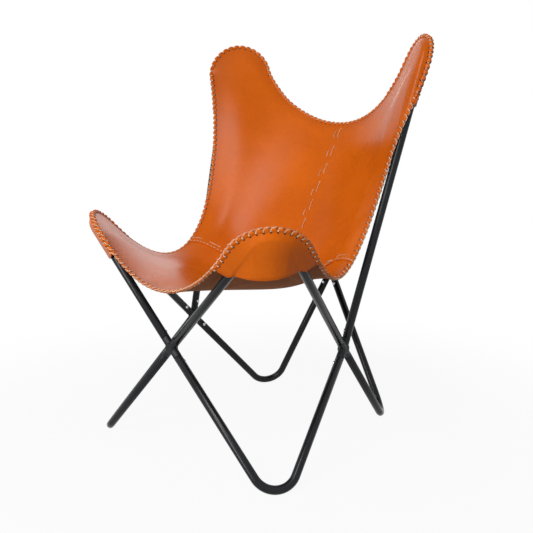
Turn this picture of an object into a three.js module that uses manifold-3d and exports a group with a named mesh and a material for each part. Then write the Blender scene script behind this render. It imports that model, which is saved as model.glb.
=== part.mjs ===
// Butterfly sling chair: a laced leather sling hung on a knock-down frame of bent steel tube.
// Millimetres, +Z up, floor at z = 0. The chair faces -Y, and x = 0 is its plane of symmetry.
import * as THREE from 'three';
import { mergeVertices } from 'three/addons/utils/BufferGeometryUtils.js';
import Module from 'manifold-3d';

// Steel tube
const TUBE_D = 18;
const TUBE_WALL = 1.5;
const FOOT_BEND_R = 47;
const WING_BEND_R = 42;
const FOOT_FLAT = 0.8;

// Where the tube axes cross. The side crossing is given for the sitter's left.
const FRONT_CROSS_Y = -284;
const FRONT_CROSS_Z = 253;
const BACK_CROSS_Y = 288;
const BACK_CROSS_Z = 345;
const SIDE_CROSS_X = 237;
const SIDE_CROSS_Y = 4;
const SIDE_CROSS_Z = 233;

// Corners that the straight runs point at, before the bends round them off
const FRONT_FOOT_X = 285;
const FRONT_FOOT_Y = -272;
const BACK_FOOT_X = 196;
const BACK_FOOT_Y = 272;
const FRONT_WING_X = 290;
const FRONT_WING_Y = -294;
const FRONT_WING_Z = 543;
const BACK_WING_X = 318;
const BACK_WING_Y = 252;
const BACK_WING_Z = 1026;

// Cross connectors: a round boss, hub arms as thick as the tube, and stubs inside the tubes' bores
const HUB_BOSS_D = 24;
const HUB_BOSS_PROUD = 0.4;
const HUB_ARM = 26;
const STUB_LENGTH = 30;
const STUB_CLEARANCE = 0.3;
const SCREW_FROM_TUBE_END = 12;

// Button-head screws
const SCREW_SHANK_D = 4;
const SCREW_LENGTH = 7;
const SCREW_HEAD_D = 8;
const SCREW_HEAD_H = 2.4;
const SCREW_SOCKET_D = 3.4;
const SCREW_SOCKET_DEPTH = 1.4;
const SCREW_CLEARANCE = 0.3;

// Leather
const LEATHER_T = 3;
const FRONT_LIP = 10;
const FRONT_TIP_R = 88;
const BACK_LIP = 20;
const BACK_TIP_R = 71;
const SLING_CLEARANCE = 0.5;
const LAYER_GAP = 0.3;
const SEAM_GAP = 0.3;
const LACE_D = 3;
const POCKET_LEG_FRONT = 76;
const POCKET_LEG_BACK = 110;
const POCKET_SAG = 8;
const POCKET_WEB_SHARES = [0.33, 0.67, 0.97];

// Free edges of the sling: how far each one runs along its tube before it swings away, how far the
// side edge lifts off its back tube, and the point, measured from the crossing below an edge, that
// pulls it down and in
const FRONT_EDGE_RUN = 27;
const FRONT_EDGE_PULL_Y = -16;
const FRONT_EDGE_PULL_Z = -30;
const BACK_EDGE_RUN = 132;
const BACK_EDGE_PULL_Y = 118;
const BACK_EDGE_PULL_Z = 294;
const SIDE_EDGE_FRONT_RUN = 163;
const SIDE_EDGE_BACK_RUN = 49;
const SIDE_EDGE_BACK_RISE = 14;
const SIDE_EDGE_PULL_X = -46;
const SIDE_EDGE_PULL_Y = 88;
const SIDE_EDGE_PULL_Z = 14;

// How fast the height of the front and back edges dies out towards the middle of the sling
const EDGE_FADE = 3;

// Centre line of the sling: a seat run and a back run with a round hollow between them
const SEAT_CORNER_Y = 68;
const SEAT_CORNER_Z = 337;
const SEAT_HOLLOW_R = 150;

// Seam between the seat panel and the back panels: its run from the front along the centre line, and from
// the crest of a front wing along the side edge
const CROSS_SEAM_CENTRE_RUN = 395;
const CROSS_SEAM_EDGE_RUN = 343;

// Faces
const TUBE_SIDES = 12;
const BEND_STEPS = 8;
const SCREW_SIDES = 8;
const STUB_SIDES = 8;
const LACE_SIDES = 5;
const LACE_INSIDE = 0.02;
const SLING_COLUMNS = 12;
const SEAT_ROWS = 8;
const BACK_ROWS = 12;
const TIP_CROWDING = 0.3;
const EDGE_SAMPLES = 24;
const SETTLE_STEPS = 12;
const NORMAL_STEP = 0.004;
const ASSEMBLY_GAP = 0.3;

const TUBE_R = TUBE_D / 2;
const BORE_R = TUBE_R - TUBE_WALL;
const STUB_R = BORE_R * Math.cos(Math.PI / TUBE_SIDES) - STUB_CLEARANCE;
const TUBE_START = HUB_ARM + ASSEMBLY_GAP;
const SCREW_AT = TUBE_START + SCREW_FROM_TUBE_END;
// From a tube's axis to the middle of the leather that lies on it
const LEATHER_LIFT = TUBE_R + SLING_CLEARANCE + LEATHER_T / 2;

const blackSteel = new THREE.MeshStandardMaterial({ color: 0x1b1d21, roughness: 0.42, metalness: 0.6 });
const connectorSteel = new THREE.MeshStandardMaterial({ color: 0x202227, roughness: 0.5, metalness: 0.6 });
const brightSteel = new THREE.MeshStandardMaterial({ color: 0xb9bcc0, roughness: 0.3, metalness: 1 });
const tanLeather = new THREE.MeshStandardMaterial({ color: 0xcc6114, roughness: 0.45, metalness: 0 });
const laceCord = new THREE.MeshStandardMaterial({ color: 0xb08c68, roughness: 0.8, metalness: 0 });

const wasm = await Module();
wasm.setup();

const vec = (x, y, z) => new THREE.Vector3(x, y, z);
const along = (from, direction, distance) => from.clone().addScaledVector(direction, distance);
const towards = (from, to) => to.clone().sub(from).normalize();
const mirrored = (v) => vec(-v.x, v.y, v.z);

// A mesh from points and triangles, turned so that its faces point out.
function solid(points, triangles) {
  let volume = 0;
  for (const [a, b, c] of triangles) {
    volume += points[a].dot(points[b].clone().cross(points[c]));
  }
  const index = triangles.flatMap(([a, b, c]) => (volume > 0 ? [a, b, c] : [a, c, b]));
  const geometry = new THREE.BufferGeometry();
  geometry.setAttribute('position', new THREE.Float32BufferAttribute(points.flatMap((p) => p.toArray()), 3));
  geometry.setIndex(index);
  return geometry;
}

function toManifold(geometry) {
  const bare = geometry.clone();
  bare.deleteAttribute('normal');
  bare.deleteAttribute('uv');
  const merged = mergeVertices(bare, 1e-4);
  const vertProperties = new Float32Array(merged.attributes.position.array);
  const triVerts = new Uint32Array(merged.index.array);
  return new wasm.Manifold(new wasm.Mesh({ numProp: 3, vertProperties, triVerts }));
}

function fromManifold(manifold) {
  const mesh = manifold.getMesh();
  const geometry = new THREE.BufferGeometry();
  geometry.setAttribute('position', new THREE.BufferAttribute(mesh.vertProperties, 3));
  geometry.setIndex(new THREE.BufferAttribute(mesh.triVerts, 1));
  return geometry;
}

// A round bar from one point to another.
function bar(from, to, radius, sides = TUBE_SIDES) {
  const geometry = new THREE.CylinderGeometry(radius, radius, from.distanceTo(to), sides);
  const turn = new THREE.Quaternion().setFromUnitVectors(vec(0, 1, 0), towards(from, to));
  geometry.applyQuaternion(turn);
  const middle = from.clone().lerp(to, 0.5);
  return geometry.translate(middle.x, middle.y, middle.z);
}

// The axis of a tube that runs from one crossing to a rounded corner and on to another crossing.
// up is the upper side of the plane it lies in, which on a wing is the side towards the sitter.
function bendAxis(crossA, corner, crossB, bendRadius) {
  const toA = towards(corner, crossA);
  const toB = towards(corner, crossB);
  const half = toA.angleTo(toB) / 2;
  const bisector = toA.clone().add(toB).normalize();
  const across = toB.clone().sub(toA).normalize();
  const centre = along(corner, bisector, bendRadius / Math.sin(half));
  const sweep = Math.PI / 2 - half;
  const bend = [];
  for (let i = 0; i <= BEND_STEPS; i++) {
    const angle = sweep * ((2 * i) / BEND_STEPS - 1);
    const outward = bisector.clone().multiplyScalar(-Math.cos(angle));
    outward.addScaledVector(across, Math.sin(angle));
    bend.push({ point: along(centre, outward, bendRadius), outward });
  }
  const first = { point: along(crossA, toA, -TUBE_START), outward: bend[0].outward };
  const last = { point: along(crossB, toB, -TUBE_START), outward: bend.at(-1).outward };
  const stations = [first, ...bend, last];
  const normal = toA.clone().cross(toB).normalize();
  const up = normal.z > 0 ? normal : normal.clone().negate();
  return { corner, toA, toB, bisector, across, centre, sweep, bendRadius, bend, stations, up };
}

// A hollow tube with open ends round that axis.
function tubeGeometry(axis) {
  const points = [];
  for (const { point, outward } of axis.stations) {
    for (const radius of [TUBE_R, BORE_R]) {
      for (let k = 0; k < TUBE_SIDES; k++) {
        const angle = (2 * Math.PI * k) / TUBE_SIDES;
        const rim = along(point, outward, radius * Math.cos(angle));
        points.push(rim.addScaledVector(axis.up, radius * Math.sin(angle)));
      }
    }
  }
  const at = (station, inner, k) => (2 * station + inner) * TUBE_SIDES + (k % TUBE_SIDES);
  const last = axis.stations.length - 1;
  const triangles = [];
  const quad = (a, b, c, d) => triangles.push([a, b, c], [a, c, d]);
  for (let k = 0; k < TUBE_SIDES; k++) {
    for (let i = 0; i < last; i++) {
      quad(at(i, 0, k), at(i, 0, k + 1), at(i + 1, 0, k + 1), at(i + 1, 0, k));
      quad(at(i, 1, k), at(i + 1, 1, k), at(i + 1, 1, k + 1), at(i, 1, k + 1));
    }
    quad(at(0, 0, k), at(0, 1, k), at(0, 1, k + 1), at(0, 0, k + 1));
    quad(at(last, 0, k), at(last, 0, k + 1), at(last, 1, k + 1), at(last, 1, k));
  }
  return solid(points, triangles);
}

// The foot's corner, lowered until the underside of its bend is FOOT_FLAT below the floor.
function settledFoot(crossA, x, y, crossB) {
  const corner = vec(x, y, 0);
  for (let i = 0; i < SETTLE_STEPS; i++) {
    const geometry = tubeGeometry(bendAxis(crossA, corner, crossB, FOOT_BEND_R));
    geometry.computeBoundingBox();
    corner.z -= geometry.boundingBox.min.z + FOOT_FLAT;
  }
  return corner;
}

const cross = {
  front: vec(0, FRONT_CROSS_Y, FRONT_CROSS_Z),
  back: vec(0, BACK_CROSS_Y, BACK_CROSS_Z),
  left: vec(SIDE_CROSS_X, SIDE_CROSS_Y, SIDE_CROSS_Z),
  right: vec(-SIDE_CROSS_X, SIDE_CROSS_Y, SIDE_CROSS_Z),
};
const frontFoot = settledFoot(cross.front, FRONT_FOOT_X, FRONT_FOOT_Y, cross.left);
const backFoot = settledFoot(cross.back, BACK_FOOT_X, BACK_FOOT_Y, cross.left);
const frontWing = vec(FRONT_WING_X, FRONT_WING_Y, FRONT_WING_Z);
const backWing = vec(BACK_WING_X, BACK_WING_Y, BACK_WING_Z);

const ENDS = ['front', 'back'];
const SIDES = ['left', 'right'];
const loops = [];
for (const end of ENDS) {
  for (const side of SIDES) {
    const place = side === 'left' ? (v) => v : mirrored;
    const wing = place(end === 'front' ? frontWing : backWing);
    const foot = place(end === 'front' ? frontFoot : backFoot);
    const wingAxis = bendAxis(cross[end], wing, cross[side], WING_BEND_R);
    const footAxis = bendAxis(cross[end], foot, cross[side], FOOT_BEND_R);
    loops.push({ name: `wing_loop_${end}_${side}`, kind: 'wing', end, side, axis: wingAxis });
    loops.push({ name: `foot_loop_${end}_${side}`, kind: 'foot', end, side, axis: footAxis });
  }
}

// Each crossing has four arms, one for every tube end that meets there.
const joints = Object.entries(cross).map(([name, centre]) => {
  const inward = vec(-centre.x, -centre.y, 0).normalize();
  const arms = [];
  for (const loop of loops) {
    if (loop.end !== name && loop.side !== name) continue;
    const direction = towards(centre, loop.axis.corner);
    const screwAxis = along(inward, direction, -inward.dot(direction)).normalize();
    const screwSeat = along(along(centre, direction, SCREW_AT), screwAxis, TUBE_R + ASSEMBLY_GAP);
    arms.push({ loop, direction, screwAxis, screwSeat });
  }
  return { name, centre, inward, arms };
});

// The clearance hole of a screw, from outside the tube to just past the screw's tip.
function screwHole({ screwSeat, screwAxis }) {
  const outer = along(screwSeat, screwAxis, SCREW_HEAD_H);
  const inner = along(screwSeat, screwAxis, -SCREW_LENGTH - SCREW_CLEARANCE);
  return toManifold(bar(outer, inner, SCREW_SHANK_D / 2 + SCREW_CLEARANCE, SCREW_SIDES));
}

// A tube with its screw holes, worn flat where it stands on the floor.
function drilledTube(loop) {
  let tube = toManifold(tubeGeometry(loop.axis));
  for (const joint of joints) {
    for (const arm of joint.arms) {
      if (arm.loop === loop) tube = tube.subtract(screwHole(arm));
    }
  }
  return fromManifold(tube.trimByPlane([0, 0, 1], 0));
}

function connectorGeometry({ centre, inward, arms }) {
  const bossHalf = TUBE_R + HUB_BOSS_PROUD;
  const boss = bar(along(centre, inward, -bossHalf), along(centre, inward, bossHalf), HUB_BOSS_D / 2);
  let body = toManifold(boss);
  for (const arm of arms) {
    const hub = toManifold(bar(centre, along(centre, arm.direction, HUB_ARM), TUBE_R));
    const stubEnd = along(centre, arm.direction, HUB_ARM + STUB_LENGTH);
    const stub = toManifold(bar(centre, stubEnd, STUB_R, STUB_SIDES));
    body = body.add(hub).add(stub);
  }
  for (const arm of arms) body = body.subtract(screwHole(arm));
  return fromManifold(body);
}

// Profile of a screw, turned about its axis: socket, domed head, shank.
function screwGeometry() {
  const head = SCREW_HEAD_D / 2;
  const shank = SCREW_SHANK_D / 2;
  const socket = SCREW_SOCKET_D / 2;
  const profile = [
    new THREE.Vector2(0, -SCREW_LENGTH),
    new THREE.Vector2(shank, -SCREW_LENGTH),
    new THREE.Vector2(shank, 0),
    new THREE.Vector2(head, 0),
    new THREE.Vector2(head, SCREW_HEAD_H / 3),
    new THREE.Vector2(socket, SCREW_HEAD_H),
    new THREE.Vector2(socket, SCREW_HEAD_H - SCREW_SOCKET_DEPTH),
    new THREE.Vector2(0, SCREW_HEAD_H - SCREW_SOCKET_DEPTH),
  ];
  return new THREE.LatheGeometry(profile, SCREW_SIDES);
}

// A curve through many points that is read by its share of the length.
function curveOf(points) {
  const lengths = [0];
  for (let i = 1; i < points.length; i++) lengths.push(lengths[i - 1] + points[i].distanceTo(points[i - 1]));
  const total = lengths.at(-1);
  const at = (share) => {
    const wanted = Math.min(Math.max(share, 0), 1) * total;
    let i = 1;
    while (i < points.length - 1 && lengths[i] < wanted) i++;
    return points[i - 1].clone().lerp(points[i], (wanted - lengths[i - 1]) / (lengths[i] - lengths[i - 1]));
  };
  return { points, lengths, total, at };
}

// A Bezier curve of any degree, sampled evenly in its parameter.
function bezier(controls, samples) {
  const points = [];
  for (let i = 0; i <= samples; i++) {
    let layer = controls.map((c) => c.clone());
    while (layer.length > 1) layer = layer.slice(1).map((c, k) => layer[k].clone().lerp(c, i / samples));
    points.push(layer[0]);
  }
  return points;
}

const wingAxis = (end) => loops.find((l) => l.kind === 'wing' && l.end === end && l.side === 'left').axis;
const tipLip = { front: FRONT_LIP, back: BACK_LIP };
const tipRadius = { front: FRONT_TIP_R, back: BACK_TIP_R };

// Half of the sling's round tip over a left wing, from its crest, which stands a lip beyond the tube,
// to the end of the bend. hand is -1 towards the bend's first crossing and 1 towards its second one.
function tipArc(end, hand) {
  const axis = wingAxis(end);
  const radius = tipRadius[end];
  const inset = radius - axis.bendRadius - TUBE_R - tipLip[end];
  const centre = along(along(axis.centre, axis.up, LEATHER_LIFT), axis.bisector, inset);
  const points = [];
  for (let i = 0; i <= EDGE_SAMPLES; i++) {
    const angle = (hand * axis.sweep * i) / EDGE_SAMPLES;
    const outward = axis.bisector.clone().multiplyScalar(-Math.cos(angle));
    outward.addScaledVector(axis.across, Math.sin(angle));
    points.push(along(centre, outward, radius));
  }
  return points;
}

// The front or back edge, from the middle of the chair to the crest of the left wing.
function endEdge(end, run, pull) {
  const axis = wingAxis(end);
  const tip = tipArc(end, -1);
  const start = tip.at(-1);
  const swing = along(start, axis.toA, run);
  const edge = bezier([start, swing, pull, mirrored(swing), mirrored(start)], 4 * EDGE_SAMPLES);
  return curveOf([...tip, ...edge.slice(1, 2 * EDGE_SAMPLES + 1)].reverse());
}

// The left edge, from the crest of the front wing to the crest of the back wing.
function sideEdge() {
  const front = wingAxis('front');
  const back = wingAxis('back');
  const frontTip = tipArc('front', 1);
  const backTip = tipArc('back', 1);
  const start = frontTip.at(-1);
  const stop = backTip.at(-1);
  const pull = cross.left.clone().add(vec(SIDE_EDGE_PULL_X, SIDE_EDGE_PULL_Y, SIDE_EDGE_PULL_Z));
  const swingFront = along(start, front.toB, SIDE_EDGE_FRONT_RUN);
  const swingBack = along(along(stop, back.toB, SIDE_EDGE_BACK_RUN), back.up, SIDE_EDGE_BACK_RISE);
  const edge = bezier([start, swingFront, pull, swingBack, stop], 6 * EDGE_SAMPLES);
  return curveOf([...frontTip, ...edge.slice(1, -1), ...backTip.reverse()]);
}

// The centre line from the front hem to the back hem: two straight runs joined by an arc.
function centreLine(front, back) {
  const corner = vec(0, SEAT_CORNER_Y, SEAT_CORNER_Z);
  const seat = towards(corner, front);
  const rest = towards(corner, back);
  const half = seat.angleTo(rest) / 2;
  const middle = seat.clone().add(rest).normalize();
  const centre = along(corner, middle, SEAT_HOLLOW_R / Math.sin(half));
  const across = rest.clone().sub(seat).normalize();
  const points = [front];
  for (let i = 0; i <= EDGE_SAMPLES; i++) {
    const angle = (Math.PI / 2 - half) * ((2 * i) / EDGE_SAMPLES - 1);
    const spoke = middle.clone().multiplyScalar(-Math.cos(angle)).addScaledVector(across, Math.sin(angle));
    points.push(along(centre, spoke, SEAT_HOLLOW_R));
  }
  return curveOf([...points, back]);
}

const frontPull = cross.front.clone().add(vec(0, FRONT_EDGE_PULL_Y, FRONT_EDGE_PULL_Z));
const backPull = cross.back.clone().add(vec(0, BACK_EDGE_PULL_Y, BACK_EDGE_PULL_Z));
const frontHem = endEdge('front', FRONT_EDGE_RUN, frontPull);
const backHem = endEdge('back', BACK_EDGE_RUN, backPull);
const sideHem = sideEdge();
const spine = centreLine(frontHem.at(0), backHem.at(0));

// The sling's middle surface. p runs from -1 at the right edge to 1 at the left edge, and q from 0
// at the front hem to 1 at the back hem. It blends the spine into the side edge, and adds what the
// front and back hems have of their own near them. It stays smooth across p = 0.
function slingPoint(p, q) {
  const share = Math.abs(p);
  const blend = share * share;
  const point = spine.at(q).multiplyScalar(1 - blend).addScaledVector(sideHem.at(q), blend);
  for (const [hem, near] of [[frontHem, 1 - q], [backHem, q]]) {
    const own = hem.at(share).addScaledVector(hem.at(0), blend - 1).addScaledVector(hem.at(1), -blend);
    point.add(own.multiply(vec(near, near, near ** EDGE_FADE)));
  }
  return p < 0 ? mirrored(point) : point;
}

// The sling's upper side at a point of that surface.
function slingNormal(p, q) {
  const p0 = Math.max(p - NORMAL_STEP, -1);
  const p1 = Math.min(p + NORMAL_STEP, 1);
  const q0 = Math.max(q - NORMAL_STEP, 0);
  const q1 = Math.min(q + NORMAL_STEP, 1);
  const sideways = slingPoint(p1, q).sub(slingPoint(p0, q));
  return sideways.cross(slingPoint(p, q1).sub(slingPoint(p, q0))).normalize();
}

// A leather panel: a grid of { point, normal } rows, thickened on both sides of its middle surface.
function leatherSolid(rows) {
  const columns = rows[0].length;
  const points = [];
  for (const side of [LEATHER_T / 2, -LEATHER_T / 2]) {
    for (const row of rows) for (const { point, normal } of row) points.push(along(point, normal, side));
  }
  const under = rows.length * columns;
  const triangles = [];
  const rim = [];
  for (let i = 0; i + 1 < rows.length; i++) {
    for (let j = 0; j + 1 < columns; j++) {
      const [a, b] = [i * columns + j, i * columns + j + 1];
      const [c, d] = [b + columns, a + columns];
      triangles.push([a, b, c], [a, c, d]);
      triangles.push([under + a, under + c, under + b], [under + a, under + d, under + c]);
    }
  }
  const lastRow = (rows.length - 1) * columns;
  for (let j = 0; j + 1 < columns; j++) rim.push([j + 1, j], [lastRow + j, lastRow + j + 1]);
  for (let i = 0; i + 1 < rows.length; i++) {
    const a = i * columns;
    rim.push([a, a + columns], [a + 2 * columns - 1, a + columns - 1]);
  }
  for (const [a, b] of rim) triangles.push([a, b, under + b], [a, under + b, under + a]);
  return solid(points, triangles);
}

// The share of the sling's length at which the cross seam lies, and half a seam gap as a share.
const seamAtCentre = CROSS_SEAM_CENTRE_RUN / spine.total;
const seamAtEdge = CROSS_SEAM_EDGE_RUN / sideHem.total;
const crossSeam = (p) => seamAtCentre + (seamAtEdge - seamAtCentre) * p * p;
const halfGapQ = SEAM_GAP / 2 / spine.total;
const halfGapP = SEAM_GAP / 2 / frontHem.total;

// Grid lines of the panels, which lie closer together towards the wing tips.
const closerAtTip = (share) => share * (1 + TIP_CROWDING * (1 - share * share));
const halfColumns = Array.from({ length: SLING_COLUMNS + 1 }, (_, j) => closerAtTip(j / SLING_COLUMNS));
const columns = [...halfColumns.slice(1).toReversed().map((p) => -p), ...halfColumns];
const seatShares = Array.from({ length: SEAT_ROWS + 1 }, (_, i) => 1 - closerAtTip(1 - i / SEAT_ROWS));
const backShares = Array.from({ length: BACK_ROWS + 1 }, (_, i) => closerAtTip(i / BACK_ROWS));
const seatQ = (p, share) => (crossSeam(p) - halfGapQ) * share;
const backQ = (p, share) => 1 - (1 - crossSeam(p) - halfGapQ) * (1 - share);

function panelGeometry(ps, qAt, shares) {
  return leatherSolid(shares.map((share) => ps.map((p) => {
    const q = qAt(p, share);
    return { point: slingPoint(p, q), normal: slingNormal(p, q) };
  })));
}

// The nearest point of a hem to a given point, with its share of the hem's length.
function nearestOn(hem, target) {
  let best = { distance: Infinity };
  hem.points.forEach((point, i) => {
    const distance = point.distanceTo(target);
    if (distance < best.distance) best = { distance, point, share: hem.lengths[i] / hem.total };
  });
  return best;
}

// A pocket on the outside of a left wing: laced to the sling's edge, wrapped round the tube,
// and closed by a flat web whose lower edge sags between the two legs of the tube.
function pocketGeometry(end, legLength) {
  const axis = wingAxis(end);
  const outside = axis.up.clone().negate();
  const hem = end === 'front' ? frontHem : backHem;
  const hemQ = end === 'front' ? 0 : 1;
  const onLeg = ({ point, outward }, direction, share) => {
    return { point: along(point, direction, share * legLength), outward };
  };
  const [first, last] = [axis.bend[0], axis.bend.at(-1)];
  const stations = [
    onLeg(first, axis.toA, 1),
    onLeg(first, axis.toA, 0.5),
    ...axis.bend,
    onLeg(last, axis.toB, 0.5),
    onLeg(last, axis.toB, 1),
  ];
  const middleOfEdge = stations[0].point.clone().lerp(stations.at(-1).point, 0.5);
  const web = along(along(middleOfEdge, axis.bisector, POCKET_SAG), outside, LEATHER_LIFT);
  const rows = stations.map((station, i) => {
    const onHem = i < stations.length / 2;
    const beyond = along(station.point, station.outward, TUBE_R + tipLip[end]);
    const edge = nearestOn(onHem ? hem : sideHem, beyond);
    const normal = onHem ? slingNormal(edge.share, hemQ) : slingNormal(1, edge.share);
    const rim = along(edge.point, normal, -LEATHER_T - LAYER_GAP);
    const fromAxis = rim.clone().sub(station.point);
    const reach = Math.hypot(fromAxis.dot(station.outward), fromAxis.dot(outside));
    const rimAngle = Math.atan2(fromAxis.dot(station.outward), fromAxis.dot(outside));
    const touch = rimAngle - Math.acos(LEATHER_LIFT / reach);
    const line = [rim];
    for (const angle of [touch, touch / 2, 0]) {
      const out = along(station.point, station.outward, LEATHER_LIFT * Math.sin(angle));
      line.push(out.addScaledVector(outside, LEATHER_LIFT * Math.cos(angle)));
    }
    const foot = line.at(-1);
    return [...line, ...POCKET_WEB_SHARES.map((s) => foot.clone().lerp(web, s))];
  });
  return leatherSolid(withNormals(rows));
}

// Adds to each point of a grid the direction square to its neighbours.
function withNormals(rows) {
  const pick = (list, i) => list[Math.min(Math.max(i, 0), list.length - 1)];
  return rows.map((row, i) => row.map((point, j) => {
    const down = pick(rows, i + 1)[j].clone().sub(pick(rows, i - 1)[j]);
    const sideways = pick(row, j + 1).clone().sub(pick(row, j - 1));
    return { point, normal: down.cross(sideways).normalize() };
  }));
}

// The lacing along one edge, lying just outside the leather. Each station has a point of the edge
// and a point of the leather a little way in from it.
function laceGeometry(stations) {
  const reach = LACE_D / 2 + ASSEMBLY_GAP;
  const last = stations.length - 1;
  const path = stations.map(({ edge, inner }, i) => {
    const ahead = stations[Math.min(i + 1, last)].edge;
    const behind = stations[Math.max(i - 1, 0)].edge;
    const tangent = towards(behind, ahead);
    const outward = edge.clone().sub(inner);
    outward.addScaledVector(tangent, -outward.dot(tangent)).normalize();
    return { point: along(edge, outward, reach), outward, binormal: tangent.clone().cross(outward) };
  });
  const points = [];
  for (const { point, outward, binormal } of path) {
    for (let k = 0; k < LACE_SIDES; k++) {
      const angle = (2 * Math.PI * k) / LACE_SIDES;
      const rim = along(point, outward, (LACE_D / 2) * Math.cos(angle));
      points.push(rim.addScaledVector(binormal, (LACE_D / 2) * Math.sin(angle)));
    }
  }
  const at = (i, k) => i * LACE_SIDES + (k % LACE_SIDES);
  const triangles = [];
  for (let k = 0; k < LACE_SIDES; k++) {
    for (let i = 0; i < last; i++) {
      triangles.push([at(i, k), at(i, k + 1), at(i + 1, k + 1)], [at(i, k), at(i + 1, k + 1), at(i + 1, k)]);
    }
  }
  for (let k = 1; k + 1 < LACE_SIDES; k++) {
    triangles.push([at(0, 0), at(0, k + 1), at(0, k)]);
    triangles.push([at(last, 0), at(last, k), at(last, k + 1)]);
  }
  return solid(points, triangles);
}

function mirroredGeometry(geometry) {
  const copy = geometry.clone().scale(-1, 1, 1);
  const index = copy.index.array;
  for (let i = 0; i < index.length; i += 3) [index[i + 1], index[i + 2]] = [index[i + 2], index[i + 1]];
  return copy;
}

const chair = new THREE.Group();

function place(name, geometry, material) {
  const mesh = new THREE.Mesh(geometry, material);
  mesh.name = name;
  chair.add(mesh);
  return mesh;
}

for (const loop of loops) place(loop.name, drilledTube(loop), blackSteel);

for (const joint of joints) {
  place(`cross_connector_${joint.name}`, connectorGeometry(joint), connectorSteel);
  for (const arm of joint.arms) {
    const tube = arm.loop.name.replace('_loop', '');
    const screw = place(`screw_${joint.name}_${tube}`, screwGeometry(), brightSteel);
    screw.quaternion.setFromUnitVectors(vec(0, 1, 0), arm.screwAxis);
    screw.position.copy(arm.screwSeat);
  }
}

place('seat_panel', panelGeometry(columns, seatQ, seatShares), tanLeather);
const backPanel = panelGeometry([halfGapP, ...halfColumns.slice(1)], backQ, backShares);
place('back_panel_left', backPanel, tanLeather);
place('back_panel_right', mirroredGeometry(backPanel), tanLeather);

for (const [end, legLength] of [['front', POCKET_LEG_FRONT], ['back', POCKET_LEG_BACK]]) {
  const pocket = pocketGeometry(end, legLength);
  place(`pocket_${end}_left`, pocket, tanLeather);
  place(`pocket_${end}_right`, mirroredGeometry(pocket), tanLeather);
}

const hemStations = (q, inside) => columns.map((p) => {
  return { edge: slingPoint(p, q), inner: slingPoint(p, inside) };
});
const sideShares = [...seatShares.map((s) => seatQ(1, s)), ...backShares.slice(1).map((s) => backQ(1, s))];
const sideStations = sideShares.map((q) => {
  return { edge: slingPoint(1, q), inner: slingPoint(1 - LACE_INSIDE, q) };
});
const frontLace = laceGeometry(hemStations(0, LACE_INSIDE).slice(1, -1));
const backLace = laceGeometry(hemStations(1, 1 - LACE_INSIDE).slice(1, -1));
const sideLace = laceGeometry(sideStations);
place('edge_lacing_front', frontLace, laceCord);
place('edge_lacing_back', backLace, laceCord);
place('edge_lacing_left', sideLace, laceCord);
place('edge_lacing_right', mirroredGeometry(sideLace), laceCord);

// The origin lies on the floor under the middle of the chair.
const box = new THREE.Box3().setFromObject(chair);
const assembly = new THREE.Group();
chair.position.y = -(box.min.y + box.max.y) / 2;
assembly.add(chair);

export default assembly;
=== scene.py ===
"""Looks of the butterfly sling chair: leather, lacing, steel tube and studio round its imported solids.

Everything is in metres. The chair stands on z = 0 and faces -Y, and +X is the sitter's left.
"""

import logging
import math
from dataclasses import dataclass, field, replace
from enum import Enum
from typing import Any, Iterable, Optional, Sequence

import bmesh
import bpy
import numpy as np
from mathutils import Matrix, Vector


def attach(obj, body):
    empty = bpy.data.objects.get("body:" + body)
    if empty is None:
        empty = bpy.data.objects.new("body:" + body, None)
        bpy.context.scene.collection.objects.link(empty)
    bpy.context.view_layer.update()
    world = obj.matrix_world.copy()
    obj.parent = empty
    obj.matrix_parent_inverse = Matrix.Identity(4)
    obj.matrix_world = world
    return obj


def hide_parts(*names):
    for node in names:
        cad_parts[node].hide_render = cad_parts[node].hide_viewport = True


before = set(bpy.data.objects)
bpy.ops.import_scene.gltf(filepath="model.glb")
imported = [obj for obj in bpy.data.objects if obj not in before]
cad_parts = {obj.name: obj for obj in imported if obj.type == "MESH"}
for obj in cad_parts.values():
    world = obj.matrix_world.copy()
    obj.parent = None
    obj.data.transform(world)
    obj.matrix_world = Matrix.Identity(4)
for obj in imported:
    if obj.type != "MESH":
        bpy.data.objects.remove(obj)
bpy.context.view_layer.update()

Array = np.ndarray
Colour = tuple[float, float, float]
Face = tuple[int, ...]
Socket = bpy.types.NodeSocket

LOG = logging.getLogger("sling_chair")
ROOT = "root"
WEAR_AND_SHADE = "wear"


class End(Enum):
    """The two ends of the chair."""

    FRONT = "front"
    BACK = "back"


class Side(Enum):
    """The sitter's two sides."""

    LEFT = "left"
    RIGHT = "right"

    @property
    def sign(self) -> int:
        """1 on the left, which is +X, and -1 on the right."""
        return 1 if self is Side.LEFT else -1


class Loop(Enum):
    """The two kinds of bent tube."""

    WING = "wing"
    FOOT = "foot"


class Edge(Enum):
    """The sling's four laced edges, in their order round the chair."""

    FRONT = "front"
    LEFT = "left"
    BACK = "back"
    RIGHT = "right"


class Slot(Enum):
    """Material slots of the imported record."""

    TUBE = "black_tube"
    CONNECTOR = "black_connector"
    SCREW = "screw_steel"
    LEATHER = "tan_leather"
    CORD = "lacing_cord"


TUBES = [(loop, end, side) for end in End for side in Side for loop in Loop]
CROSSINGS = [place.value for kind in (End, Side) for place in kind]
# The wings in the order in which the sling's edge passes them.
WINGS = [(End.FRONT, Side.RIGHT), (End.FRONT, Side.LEFT), (End.BACK, Side.LEFT), (End.BACK, Side.RIGHT)]
PLIES = 2
PLY_DEPTH = 0.16


def spot(x: float, y: float, z: float) -> Any:
    """A dataclass field that holds a point or a direction."""
    return field(default_factory=lambda: np.array([x, y, z]))


def unit(vectors: Array) -> Array:
    """Vectors scaled to length one along their last axis."""
    return vectors / np.linalg.norm(vectors, axis=-1, keepdims=True)


def dot(a: Array, b: Array) -> Array:
    """Dot products along the last axis, which is kept."""
    return np.sum(a * b, axis=-1, keepdims=True)


def mirrored(points: Array) -> Array:
    """Points on the other side of the chair's middle plane."""
    return points * np.array([-1.0, 1.0, 1.0])


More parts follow.
